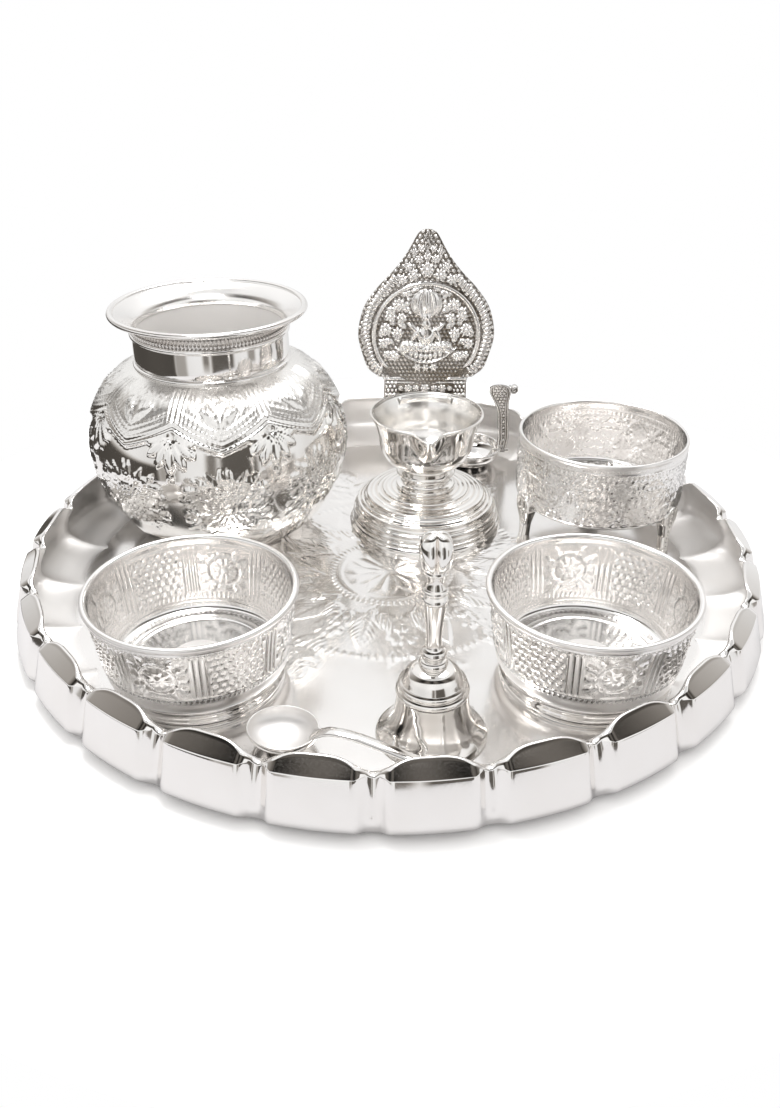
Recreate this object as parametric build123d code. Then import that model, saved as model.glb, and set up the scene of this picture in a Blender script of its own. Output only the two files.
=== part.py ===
from build123d import *
import os
from math import cos, hypot, radians, sin

# A puja thali: a lobed silver tray that carries a kalash, a standing oil lamp with an embossed
# back plate, two offering bowls, a bowl on three legs, a hand bell, a spoon and a camphor burner.
# Millimetres. The origin is the middle of the tray's underside, +Z is up and -Y faces the viewer.
# Every vessel is drawn standing on its own zero height, and is then put in its place on the tray.

# Shared sizes
overrun = 1.0
running_clearance = 0.3

# Tray: one stamped sheet with a wall of panels, which lean in to a crease and an arched rim.
# Its floor follows from its vessels
foot_clearance = 5.0
rim_clearance = 1.5
tray_wall_run = 21.0
tray_wall_height = 22.5
tray_notch_depth = 5.2
tray_sheet = 1.2
lobe_bulge = 5.0
lobe_count = 26
lobe_turn_degrees = -2.0
# height share of the wall, radius share from floor to fullest, bulge share of a lobe
tray_wall_shares = [
    (0.00, 0.40, 0.00),
    (0.07, 0.85, 0.06),
    (0.20, 1.00, 0.30),
    (0.86, 0.755, 0.75),
    (1.06, 0.434, 1.00),
]
# radius share where the last run crosses the rim's height
tray_rim_share = 0.53

# Kalash: round pot, polished neck band and flared mouth
kalash_place = (-69.2, 41.2)
kalash_belly_radius = 51.0
kalash_body_height = 72.0
kalash_neck_radius = 29.0
kalash_band_height = 13.6
kalash_band_thickness = 1.4
kalash_band_bead_radius = 0.9
kalash_mouth_radius = 37.8
kalash_mouth_height = 8.3
kalash_lip_radius = 1.3
kalash_wall = 1.0
kalash_petal_count = 8
kalash_petal_thickness = 0.8
kalash_petal_tip_degrees = -79.0
# height shares of the body: the petals' tips, the notches between them and their upper ends
kalash_petal_shares = (0.735, 0.845, 0.955)
# radius share of the belly, height share of the body
kalash_body_shares = [
    (0.580, 0.000),
    (0.790, 0.140),
    (0.915, 0.290),
    (0.985, 0.450),
    (1.000, 0.565),
    (0.975, 0.690),
    (0.900, 0.815),
    (0.770, 0.920),
    (0.660, 0.970),
]
# radius share from neck to mouth, height share of the mouth
kalash_mouth_shares = [(0.00, 0.00), (0.12, 0.30), (0.45, 0.62)]

# Oil lamp: stepped foot, turned stem, flared bowl with a spout, tall back plate
lamp_place = (14.9, 42.0)
lamp_foot_radius = 32.0
lamp_foot_height = 17.0
lamp_foot_wall = 2.0
lamp_stem_radius = 12.4
lamp_stem_height = 8.7
lamp_bowl_radius = 23.0
lamp_bowl_height = 24.0
lamp_bowl_wall = 1.1
lamp_bowl_lip_radius = 0.8
lamp_spout_reach = 6.5
lamp_spout_radius = 6.5
lamp_spout_tip_radius = 1.6
lamp_lug_width = 22.0
lamp_lug_height = 9.0
lamp_lug_thickness = 1.6
lamp_bolt_radius = 2.0
lamp_bolt_head_radius = 3.6
lamp_bolt_head_height = 2.2
lamp_boss_radius = 4.2
lamp_boss_height = 4.5
lamp_thread_depth = 3.6
lamp_washer_radius = 5.5
lamp_washer_thickness = 1.0
# radius share of the foot, height share of the foot
lamp_foot_shares = [
    (1.000, 0.00),
    (1.000, 0.10),
    (0.965, 0.15),
    (0.965, 0.24),
    (0.945, 0.29),
    (0.945, 0.46),
    (0.900, 0.54),
    (0.890, 0.66),
    (0.800, 0.74),
    (0.780, 0.84),
    (0.600, 0.90),
    (0.560, 0.96),
    (0.400, 1.00),
]
# radius share of the stem, height share of the stem
lamp_stem_shares = [
    (0.97, 0.00),
    (1.00, 0.10),
    (0.97, 0.20),
    (0.83, 0.26),
    (0.80, 0.45),
    (0.84, 0.64),
    (0.96, 0.72),
    (0.99, 0.81),
    (0.94, 0.90),
    (0.86, 1.00),
]
# radius share of the bowl, height share of the bowl
lamp_bowl_shares = [(0.46, 0.00), (0.70, 0.20), (0.83, 0.45), (0.895, 0.75), (0.965, 0.97)]

# Back plate of the lamp
plate_height = 76.0
plate_half_width = 28.0
plate_neck_half_width = 17.6
plate_thickness = 1.4
plate_border_width = 6.5
plate_border_thickness = 0.9
plate_rivet_radius = 0.9
plate_rivet_head_radius = 1.7
plate_rivet_spacing = 13.0
# height share of the plate at the middle of its round field
plate_field_share = 0.435
# half width share of the plate, height share of the plate, on the right-hand edge
plate_edge_shares = [
    (0.630, 0.190),
    (0.720, 0.212),
    (0.865, 0.257),
    (0.950, 0.346),
    (1.000, 0.435),
    (0.970, 0.525),
    (0.885, 0.613),
    (0.705, 0.703),
    (0.475, 0.791),
    (0.290, 0.880),
    (0.150, 0.970),
]

# Two offering bowls, alike
bowl_places = {"left_bowl": (-63.7, -63.6), "right_bowl": (65.3, -63.1)}
bowl_radius = 34.6
bowl_height = 33.8
bowl_wall = 1.0
bowl_lip_radius = 1.1
bowl_ring_radius = 0.6
bowl_foot_proud = 0.7
bowl_foot_height = 5.0
bowl_foot_wall = 1.8
# radius share of the rim, height share from foot to rim
bowl_wall_shares = [(0.800, 0.000), (0.862, 0.090), (0.880, 0.240), (0.920, 0.580)]
bowl_ring_shares = (0.873, 0.145)
bowl_foot_radius = bowl_wall_shares[0][0] * bowl_radius + bowl_foot_proud

# Bowl on three leaf-shaped legs
footed_place = (85.5, 34.2)
footed_radius = 33.6
footed_height = 44.8
footed_base_height = 15.6
footed_wall = 1.0
footed_lip_radius = 0.9
footed_leg_width = 11.0
footed_leg_height = 22.0
footed_leg_thickness = 4.4
footed_leg_proud = 0.8
footed_leg_angles_degrees = {"left": 199.0, "right": 319.0, "rear": 79.0}
# radius share of the rim, height share from base to rim
footed_wall_shares = [(0.780, 0.000), (0.925, 0.035), (0.975, 0.130), (0.982, 0.500)]
# half width share of the leg, height share of the leg
footed_leg_shares = [(0.46, 0.00), (0.30, 0.16), (0.42, 0.42), (0.86, 0.70), (0.92, 0.86)]

# Hand bell
bell_place = (12.8, -94.5)
bell_mouth_radius = 17.3
bell_dome_height = 26.0
bell_wall = 1.2
bell_handle_height = 45.0
bell_handle_radius = 4.8
bell_stud_radius = 1.5
bell_nut_radius = 3.4
bell_nut_height = 2.8
bell_staple_wire_radius = 0.55
bell_staple_half_width = 2.0
bell_staple_drop = 2.6
clapper_eye_wire_radius = 0.5
clapper_rod_radius = 0.65
clapper_length = 11.6
clapper_ball_radius = 2.6
# radius share of the mouth, height share below the crown
bell_dome_shares = [
    (0.230, 0.000),
    (0.460, 0.090),
    (0.590, 0.290),
    (0.645, 0.540),
    (0.715, 0.740),
    (0.820, 0.890),
    (1.000, 1.000),
]
# radius share of the finial, height share of the handle
bell_handle_shares = [
    (0.86, 0.000),
    (0.92, 0.030),
    (0.66, 0.060),
    (0.80, 0.100),
    (0.84, 0.130),
    (0.52, 0.175),
    (0.52, 0.240),
    (0.66, 0.400),
    (0.76, 0.510),
    (0.80, 0.535),
    (0.60, 0.560),
    (0.80, 0.585),
    (0.62, 0.620),
    (0.56, 0.700),
    (0.70, 0.750),
    (0.96, 0.840),
    (0.92, 0.920),
    (0.60, 0.980),
]

# Spoon, lying with its handle towards the front of the tray
spoon_place = (-32.3, -100.0)
spoon_turn_degrees = -18.5
spoon_bowl_half_length = 10.6
spoon_bowl_half_width = 9.6
spoon_bowl_depth = 6.4
spoon_wall = 0.9
spoon_handle_length = 62.0
spoon_handle_width = 2.6
spoon_handle_thickness = 1.4
# share of the handle's reach, height share of the bowl's depth
spoon_handle_shares = [(0.150, 0.90), (0.255, 1.48), (0.450, 1.36), (0.720, 0.82), (1.000, 0.50)]

# Camphor burner: round dish with an upright hooded handle
burner_place = (38.0, 100.0)
burner_radius = 15.0
burner_height = 9.0
burner_wall = 1.0
burner_lip_radius = 0.7
burner_handle_height = 36.6
burner_handle_width = 5.0
burner_handle_thickness = 1.3
burner_hood_half_width = 5.6
burner_hood_half_height = 7.0
burner_hood_half_thickness = 1.1
burner_hood_tilt_degrees = 24.0
burner_scroll_radius = 2.2
burner_rivet_radius = 0.8
burner_rivet_head_radius = 1.5
burner_rivet_share = 0.70
# radius share of the dish, height share of the dish
burner_dish_shares = [(0.55, 0.00), (0.76, 0.22), (0.92, 0.56)]
# radius share of the dish, height share of the handle
burner_handle_shares = [(0.94, 0.165), (1.14, 0.22), (1.20, 0.42), (1.19, 0.72), (1.08, 0.93), (0.86, 0.985)]
burner_hood_shares = (0.88, 0.80)
burner_scroll_shares = (1.29, 0.90)


def scaled(shares, radius, height, radius_from=0.0, height_from=0.0):
    """Turns pairs of shares into (radius, height) points."""
    points = []
    for radius_share, height_share in shares:
        points.append((radius_from + radius_share * radius, height_from + height_share * height))
    return points


def inset(points, wall):
    """The same curve one wall further in, to the left of its direction."""
    inner = []
    for i, (radius, height) in enumerate(points):
        before = points[max(i - 1, 0)]
        after = points[min(i + 1, len(points) - 1)]
        run = after[0] - before[0]
        rise = after[1] - before[1]
        length = hypot(run, rise)
        inner.append((radius - wall * rise / length, height + wall * run / length))
    return inner


def section(radius, height):
    """A point of a turned piece's half section."""
    return (radius, 0, height)


def smooth(points):
    """A smooth curve through half section points."""
    return Spline(*[section(radius, height) for radius, height in points])


def spun(edges):
    """A solid turned about the upright axis from the edges of its half section."""
    return revolve(make_face(edges), axis=Axis.Z)


def turned(points):
    """A solid of turned mouldings: straight runs between points, closed to the axis."""
    foot = section(0, points[0][1])
    top = section(0, points[-1][1])
    outline = [section(radius, height) for radius, height in points]
    return spun([Polyline(foot, *outline, top), Line(top, foot)])


def vessel(points, wall):
    """A spun cup with a flat base: its curve starts at the base's edge and ends at the rim."""
    inner = inset(points, wall)
    base_height = points[0][1]
    inner[0] = (points[0][0] - wall / 2, base_height + wall)
    inner[-1] = (points[-1][0] - wall, points[-1][1])
    edges = [
        Line(section(0, base_height), section(*points[0])),
        smooth(points),
        Line(section(*points[-1]), section(*inner[-1])),
        smooth(inner),
        Line(section(*inner[0]), section(0, base_height + wall)),
        Line(section(0, base_height + wall), section(0, base_height)),
    ]
    return spun(edges)


def filled(points):
    """What a vessel and the space in it take up together."""
    top = section(0, points[-1][1])
    base = section(0, points[0][1])
    return spun([Line(base, section(*points[0])), smooth(points), Line(section(*points[-1]), top), Line(top, base)])


def sleeve(points, wall):
    """A spun sheet that is open at both ends, which are cut level."""
    inner = [(radius - wall, height) for radius, height in points]
    edges = [
        smooth(points),
        Line(section(*points[-1]), section(*inner[-1])),
        smooth(inner),
        Line(section(*inner[0]), section(*points[0])),
    ]
    return spun(edges)


def rod(radius, low, high):
    """An upright round bar between two heights."""
    return Pos(0, 0, (low + high) / 2) * Cylinder(radius, high - low)


def ring(radius, wire, height):
    """A level ring of round wire."""
    return Pos(0, 0, height) * Torus(radius, wire)


def lip(radius, height, wire):
    """A rolled lip that ends at a radius and a height."""
    return ring(radius - wire, wire, height - wire)


def under_lip(radius, height, wire, wall):
    """Where a wall ends in the middle of its rolled lip."""
    return (radius - wire + wall / 2, height - wire)


def on_tray(place):
    """Where a vessel's zero height and axis go."""
    return Pos(place[0], place[1], tray_sheet)


def reach(place, radius):
    """How far from the tray's middle a round piece gets."""
    return hypot(place[0], place[1]) + radius


def floor_radius():
    """The floor that gives each vessel its clearance from the foot and from the rim of the tray's wall."""
    turn = radians(spoon_turn_degrees)
    spoon_end_x = spoon_place[0] + spoon_handle_length * cos(turn)
    spoon_end_y = spoon_place[1] + spoon_handle_length * sin(turn)
    foot_reaches = [reach(place, bowl_foot_radius) for place in bowl_places.values()]
    foot_reaches.append(reach(bell_place, bell_mouth_radius))
    foot_reaches.append(reach(burner_place, burner_dish_shares[0][0] * burner_radius))
    rim_reaches = [reach(footed_place, footed_radius)]
    rim_reaches.append(reach(kalash_place, kalash_body_shares[2][0] * kalash_belly_radius))
    rim_reaches.append(reach((spoon_end_x, spoon_end_y), spoon_handle_width))
    by_foot = max(foot_reaches) + foot_clearance - tray_wall_shares[0][1] * tray_wall_run
    by_rim = max(rim_reaches) + rim_clearance - tray_rim_share * tray_wall_run
    return max(by_foot, by_rim) + tray_sheet


tray_floor_radius = floor_radius()
tray_radius = tray_floor_radius + tray_wall_run


def lobed_face(height, radius, bulge):
    """The tray's outline at one height: an arc for each lobe, between the valleys."""
    step = 360 / lobe_count
    first = lobe_turn_degrees - 90

    def at(angle, reach):
        return (reach * cos(radians(angle)), reach * sin(radians(angle)), height)

    arcs = []
    for i in range(lobe_count):
        start = first + i * step
        valley = at(start, radius - bulge)
        crest = at(start + step / 2, radius)
        next_valley = at(start + step, radius - bulge)
        arcs.append(ThreePointArc(valley, crest, next_valley))
    return make_face(arcs)


def lobed_body(wall, base):
    """The lobed form, drawn in by a wall and starting at a base height."""
    faces = []
    for height_share, radius_share, bulge_share in tray_wall_shares:
        height = base + height_share * (tray_wall_height - base)
        radius = tray_floor_radius + radius_share * tray_wall_run - wall
        faces.append(lobed_face(height, radius, bulge_share * lobe_bulge))
    return loft(faces, ruled=True)


def lobe_cutters():
    """Bars that leave an arched top edge on each lobe, one bar a lobe."""
    step = 360 / lobe_count
    half = tray_radius * sin(radians(step / 2))
    notch = tray_wall_height - tray_notch_depth
    above = tray_wall_height + tray_notch_depth
    arch = ThreePointArc((-half, 0, notch), (0, 0, tray_wall_height), (half, 0, notch))
    sides = Polyline((half, 0, notch), (half, 0, above), (-half, 0, above), (-half, 0, notch))
    bar = extrude(make_face([arch, sides]), amount=tray_wall_run + overrun, dir=(0, 1, 0))
    bar = Pos(0, -tray_radius - overrun, 0) * bar
    return [Rot(0, 0, lobe_turn_degrees + (i + 1 / 2) * step) * bar for i in range(lobe_count)]


def make_tray():
    sheet_form = lobed_body(0, 0) - lobed_body(tray_sheet, tray_sheet)
    lid = Box(3 * tray_radius, 3 * tray_radius, 2 * tray_notch_depth)
    lid = Pos(0, 0, tray_wall_height + tray_notch_depth) * lid
    return {"thali_tray": sheet_form - lid - lobe_cutters()}


def petal_layer(points):
    """A raised layer over the pot's shoulder that ends below in pointed petals."""
    tip, notch, end = [share * kalash_body_height for share in kalash_petal_shares]
    step = 360 / kalash_petal_count
    half = kalash_belly_radius * sin(radians(step / 2))
    low = tip - overrun
    slope = half / (notch - tip)
    corners = [(-half - slope * overrun, 0, low), (half + slope * overrun, 0, low), (0, 0, notch)]
    gap = extrude(make_face(Polyline(*corners, close=True)), amount=kalash_belly_radius + overrun, dir=(0, -1, 0))
    first = kalash_petal_tip_degrees + 90 + step / 2
    gaps = [Rot(0, 0, first + i * step) * gap for i in range(kalash_petal_count)]
    zone = rod(kalash_belly_radius + overrun, tip, end) - gaps
    layer = filled(inset(points, -kalash_petal_thickness)) - filled(points)
    return layer & zone


def make_kalash():
    body_points = scaled(kalash_body_shares, kalash_belly_radius, kalash_body_height)
    body_points.append((kalash_neck_radius, kalash_body_height))
    body = vessel(body_points, kalash_wall) + petal_layer(body_points)

    band_top = kalash_body_height + kalash_band_height
    band_radius = kalash_neck_radius + kalash_band_thickness / 2
    band = rod(band_radius, kalash_body_height, band_top)
    for height in (kalash_body_height, band_top):
        inward = kalash_band_bead_radius if height == kalash_body_height else -kalash_band_bead_radius
        band += ring(band_radius, kalash_band_bead_radius, height + inward)
    band -= rod(band_radius - kalash_band_thickness, kalash_body_height - overrun, band_top + overrun)

    flare = kalash_mouth_radius - kalash_neck_radius
    mouth_points = scaled(kalash_mouth_shares, flare, kalash_mouth_height, kalash_neck_radius, band_top)
    mouth_top = band_top + kalash_mouth_height
    mouth_points.append(under_lip(kalash_mouth_radius, mouth_top, kalash_lip_radius, kalash_wall))
    mouth = sleeve(mouth_points, kalash_wall) + lip(kalash_mouth_radius, mouth_top, kalash_lip_radius)
    return {"kalash_body": body, "kalash_neck_band": band, "kalash_mouth": mouth}


def lamp_spout_cone(wall, bowl_rim):
    """The lower half of a cone that points to the front at rim height."""
    root = lamp_bowl_radius - lamp_spout_radius
    length = lamp_bowl_radius + lamp_spout_reach - root
    cone = Cone(lamp_spout_radius - wall, lamp_spout_tip_radius - wall, length)
    cone = Pos(0, -root - length / 2, bowl_rim) * Rot(90, 0, 0) * cone
    return cone & Pos(0, 0, bowl_rim - lamp_bowl_radius) * Box(
        2 * lamp_spout_radius, 4 * lamp_bowl_radius, 2 * lamp_bowl_radius
    )


def make_lamp_bowl(base):
    """The oil bowl, with its front spout, the lug for the plate and the boss for the bolt."""
    points = scaled(lamp_bowl_shares, lamp_bowl_radius, lamp_bowl_height, 0, base)
    rim = points[-1][1]
    inner = inset(points, lamp_bowl_wall)
    inner[0] = (points[0][0] - lamp_bowl_wall / 2, base + lamp_bowl_wall)
    inner[-1] = (points[-1][0] - lamp_bowl_wall, rim)
    hollow = filled(inner)
    bowl = vessel(points, lamp_bowl_wall)
    bowl += ring(points[-1][0], lamp_bowl_lip_radius, rim)
    bowl += lamp_spout_cone(0, rim) - hollow
    bowl -= lamp_spout_cone(lamp_bowl_wall, rim)
    bowl -= Pos(0, 0, rim) * lamp_spout_mouth()

    lug_back = lamp_bowl_radius + lamp_lug_thickness
    lug_depth = lamp_lug_thickness + lamp_bowl_radius / 2
    lug = Box(lamp_lug_width, lug_depth, lamp_lug_height)
    lug = Pos(0, lug_back - lug_depth / 2, rim - lamp_lug_height / 2) * lug
    bowl += lug - hollow
    bowl += rod(lamp_boss_radius, base, base + lamp_boss_height)
    return bowl - rod(lamp_bolt_radius, base - overrun, base + lamp_thread_depth)


def lamp_spout_mouth():
    """Opens the rim where the spout leaves it, above the level of the channel."""
    width = 2 * (lamp_spout_radius - lamp_bowl_wall)
    depth = lamp_bowl_radius / 2 + lamp_spout_radius
    return Pos(0, -lamp_bowl_radius, lamp_bowl_lip_radius) * Box(width, depth, 2 * lamp_bowl_lip_radius)


def plate_outline():
    """The plate's face, from its neck to its small rounded top."""
    edge = scaled(plate_edge_shares, plate_half_width, plate_height)
    right = [(half, 0, height) for half, height in edge]
    left = [(-half, 0, height) for half, _, height in reversed(right)]
    tip = (0, 0, plate_height)
    low = (plate_neck_half_width, 0, 0)
    low_left = (-plate_neck_half_width, 0, 0)
    edges = [
        Line(low, right[0]),
        Spline(*right, tip, *left),
        Line(left[-1], low_left),
        Line(low_left, low),
    ]
    return make_face(edges)


def make_plate(front, low):
    """The embossed plate: a sheet with a raised border about its round field, its front face at a depth
    behind the axis."""
    whole = plate_outline()
    sheet_part = extrude(whole, amount=plate_thickness, dir=(0, 1, 0))
    field = Pos(0, 0, plate_height * plate_field_share) * Rot(90, 0, 0) * Cylinder(
        plate_half_width - plate_border_width, 4 * plate_border_thickness
    )
    border = extrude(whole, amount=plate_border_thickness, dir=(0, -1, 0)) - field
    above_lug = Pos(0, 0, plate_height + lamp_lug_height) * Box(
        4 * plate_half_width, 4 * plate_border_thickness, 2 * plate_height
    )
    plate = sheet_part + (border & above_lug)
    return Pos(0, front, low) * plate


def make_lamp():
    foot_points = scaled(lamp_foot_shares, lamp_foot_radius, lamp_foot_height)
    crown = lamp_foot_height - lamp_foot_wall
    hollow = Pos(0, 0, crown / 2) * Cone(
        lamp_foot_radius - 2 * lamp_foot_wall, lamp_stem_radius - lamp_foot_wall, crown
    )
    bore = lamp_bolt_radius + running_clearance
    foot = turned(foot_points) - hollow - rod(bore, 0, lamp_foot_height + overrun)

    stem_points = scaled(lamp_stem_shares, lamp_stem_radius, lamp_stem_height, 0, lamp_foot_height)
    stem_top = lamp_foot_height + lamp_stem_height
    stem = turned(stem_points) - rod(bore, 0, stem_top + overrun)

    bowl = make_lamp_bowl(stem_top)
    rim = stem_top + lamp_bowl_shares[-1][1] * lamp_bowl_height
    plate_front = lamp_bowl_radius + lamp_lug_thickness
    plate_low = rim - lamp_lug_height
    plate = make_plate(plate_front, plate_low)

    rivet_height = rim - lamp_lug_height / 2
    rivet_root = plate_front - lamp_lug_thickness
    rivet_length = lamp_lug_thickness + plate_thickness
    rivets = []
    for side in (-1, 1):
        place = Pos(side * plate_rivet_spacing / 2, rivet_root, rivet_height) * Rot(-90, 0, 0)
        head = Sphere(plate_rivet_head_radius) & Pos(0, 0, plate_rivet_head_radius) * Box(
            2 * plate_rivet_head_radius, 2 * plate_rivet_head_radius, 2 * plate_rivet_head_radius
        )
        rivet = rod(plate_rivet_radius, 0, rivet_length) + Pos(0, 0, rivet_length) * head
        rivets.append(place * rivet)
        hole = place * rod(plate_rivet_radius, 0, rivet_length + overrun)
        plate -= hole
        bowl -= hole

    washer_low = crown - lamp_washer_thickness
    washer = rod(lamp_washer_radius, washer_low, crown) - rod(bore, 0, crown + overrun)
    bolt = rod(lamp_bolt_radius, washer_low, stem_top + lamp_thread_depth)
    bolt += rod(lamp_bolt_head_radius, washer_low - lamp_bolt_head_height, washer_low)
    return {
        "lamp_foot": foot,
        "lamp_stem": stem,
        "lamp_bowl": bowl,
        "lamp_back_plate": plate,
        "lamp_plate_rivets": Compound(rivets),
        "lamp_tie_bolt": bolt,
        "lamp_tie_washer": washer,
    }


def make_offering_bowl(name):
    rise = bowl_height - bowl_foot_height
    points = scaled(bowl_wall_shares, bowl_radius, rise, 0, bowl_foot_height)
    points.append(under_lip(bowl_radius, bowl_height, bowl_lip_radius, bowl_wall))
    shell = vessel(points, bowl_wall) + lip(bowl_radius, bowl_height, bowl_lip_radius)
    ring_height = bowl_foot_height + bowl_ring_shares[1] * rise
    shell += ring(bowl_ring_shares[0] * bowl_radius, bowl_ring_radius, ring_height)
    foot = rod(bowl_foot_radius, 0, bowl_foot_height)
    foot -= rod(bowl_foot_radius - bowl_foot_wall, -overrun, bowl_foot_height + overrun)
    return {name: shell, name + "_foot_ring": foot}


def make_footed_bowl():
    rise = footed_height - footed_base_height
    points = scaled(footed_wall_shares, footed_radius, rise, 0, footed_base_height)
    points.append(under_lip(footed_radius, footed_height, footed_lip_radius, footed_wall))
    shell = vessel(points, footed_wall) + lip(footed_radius, footed_height, footed_lip_radius)

    envelope = filled(points)
    half = scaled(footed_leg_shares, footed_leg_width / 2, footed_leg_height)
    right = [(0, width, height) for width, height in half]
    left = [(0, -width, height) for width, height in reversed(half)]
    tip = (0, 0, footed_leg_height)
    leaf = make_face([Spline(*right, tip), Spline(tip, *left), Line(left[-1], right[0])])
    outside = footed_wall_shares[-1][0] * footed_radius + footed_leg_proud
    blank = Pos(outside - footed_leg_thickness, 0, 0) * extrude(leaf, amount=footed_leg_thickness, dir=(1, 0, 0))

    pieces = {"footed_bowl": shell}
    for side, angle in footed_leg_angles_degrees.items():
        pieces["footed_bowl_leg_" + side] = Rot(0, 0, angle) * blank - envelope
    return pieces


def make_bell():
    mouth_down = scaled(bell_dome_shares, bell_mouth_radius, bell_dome_height)
    dome = Pos(0, 0, bell_dome_height) * Rot(180, 0, 0) * vessel(mouth_down, bell_wall)
    stud_hole = bell_stud_radius + running_clearance
    dome -= rod(stud_hole, 0, bell_dome_height + overrun)

    handle_points = scaled(bell_handle_shares, bell_handle_radius, bell_handle_height, 0, bell_dome_height)
    handle = turned(handle_points + [(bell_stud_radius / 2, bell_dome_height + bell_handle_height)])
    nut_top = bell_dome_height - bell_wall
    nut_low = nut_top - bell_nut_height
    handle += rod(bell_stud_radius, nut_low + bell_wall, bell_dome_height)

    bar_height = nut_low - bell_staple_drop
    hanger = rod(bell_nut_radius, nut_low, nut_top) - rod(bell_stud_radius, nut_low + bell_wall, nut_top + overrun)
    for side in (-1, 1):
        hanger += Pos(side * bell_staple_half_width, 0, 0) * rod(bell_staple_wire_radius, bar_height, nut_low)
        hanger += Pos(side * bell_staple_half_width, 0, bar_height) * Sphere(bell_staple_wire_radius)
    crossbar = Cylinder(bell_staple_wire_radius, 2 * bell_staple_half_width)
    hanger += Pos(0, 0, bar_height) * Rot(0, 90, 0) * crossbar

    eye_radius = bell_staple_wire_radius + running_clearance + clapper_eye_wire_radius
    ball_height = bar_height - clapper_length
    clapper = Pos(0, 0, bar_height) * Rot(0, 90, 0) * Torus(eye_radius, clapper_eye_wire_radius)
    clapper += rod(clapper_rod_radius, ball_height, bar_height - eye_radius)
    clapper += Pos(0, 0, ball_height) * Sphere(clapper_ball_radius)
    return {
        "bell_dome": dome,
        "bell_handle": handle,
        "bell_clapper_hanger": hanger,
        "bell_clapper": clapper,
    }


def make_spoon():
    rim = spoon_bowl_depth + running_clearance
    half_sizes = (spoon_bowl_half_length, spoon_bowl_half_width, spoon_bowl_depth)
    inner_sizes = tuple(size - spoon_wall for size in half_sizes)
    outer = scale(Sphere(1), half_sizes)
    inner = scale(Sphere(1), inner_sizes)
    lower = Pos(0, 0, -spoon_bowl_depth) * Box(
        3 * spoon_bowl_half_length, 3 * spoon_bowl_half_length, 2 * spoon_bowl_depth
    )
    bowl = Pos(0, 0, rim) * ((outer - inner) & lower)

    line = scaled(spoon_handle_shares, spoon_handle_length, spoon_bowl_depth)
    top = [(reach, 0, height + spoon_handle_thickness / 2) for reach, height in line]
    under = [(reach, 0, height - spoon_handle_thickness / 2) for reach, height in line]
    side = make_face([Spline(*top), Line(top[-1], under[-1]), Spline(*under), Line(under[0], top[0])])
    handle = extrude(side, amount=spoon_handle_width / 2, dir=(0, 1, 0), both=True)
    hollow = Pos(0, 0, rim) * inner
    spoon = bowl + (handle - hollow)
    return {"offering_spoon": Rot(0, 0, spoon_turn_degrees) * spoon}


def make_burner():
    points = scaled(burner_dish_shares, burner_radius, burner_height)
    points.append(under_lip(burner_radius, burner_height, burner_lip_radius, burner_wall))
    dish_lip = lip(burner_radius, burner_height, burner_lip_radius)
    dish = vessel(points, burner_wall) + dish_lip

    line = scaled(burner_handle_shares, burner_radius, burner_handle_height)
    outer = [section(reach, height) for reach, height in inset(line, -burner_handle_thickness / 2)]
    inner = [section(reach, height) for reach, height in inset(line, burner_handle_thickness / 2)]
    side = make_face([Spline(*outer), Line(outer[-1], inner[-1]), Spline(*inner), Line(inner[0], outer[0])])
    handle = extrude(side, amount=burner_handle_width / 2, dir=(0, 1, 0), both=True)

    hood_sizes = (burner_hood_half_thickness, burner_hood_half_width, burner_hood_half_height)
    hood_x = burner_hood_shares[0] * burner_radius
    hood_z = burner_hood_shares[1] * burner_handle_height
    handle += Pos(hood_x, 0, hood_z) * Rot(0, burner_hood_tilt_degrees, 0) * scale(Sphere(1), hood_sizes)
    scroll_x = burner_scroll_shares[0] * burner_radius
    scroll_z = burner_scroll_shares[1] * burner_handle_height
    handle += Pos(scroll_x, 0, scroll_z) * Rot(90, 0, 0) * Cylinder(burner_scroll_radius, burner_handle_width)
    handle = handle - filled(points) - dish_lip

    rivet_height = burner_rivet_share * burner_height
    rivet_start = burner_dish_shares[1][0] * burner_radius
    rivet_end = line[1][0] + burner_handle_thickness
    rivet_length = rivet_end - rivet_start
    rivet = Pos((rivet_start + rivet_end) / 2, 0, rivet_height) * Rot(0, 90, 0) * Cylinder(
        burner_rivet_radius, rivet_length
    )
    dish -= rivet
    handle -= rivet
    return {"camphor_dish": dish, "camphor_handle": handle, "camphor_handle_rivet": rivet}


def main():
    os.makedirs("parts", exist_ok=True)
    sets = [(make_tray(), Pos(0, 0, 0))]
    sets.append((make_kalash(), on_tray(kalash_place)))
    sets.append((make_lamp(), on_tray(lamp_place)))
    for name, place in bowl_places.items():
        sets.append((make_offering_bowl(name), on_tray(place)))
    sets.append((make_footed_bowl(), on_tray(footed_place)))
    sets.append((make_bell(), on_tray(bell_place)))
    sets.append((make_spoon(), on_tray(spoon_place)))
    sets.append((make_burner(), on_tray(burner_place)))
    for pieces, place in sets:
        for name, shape in pieces.items():
            export_step(place * shape, "parts/" + name + ".step")


main()
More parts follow.
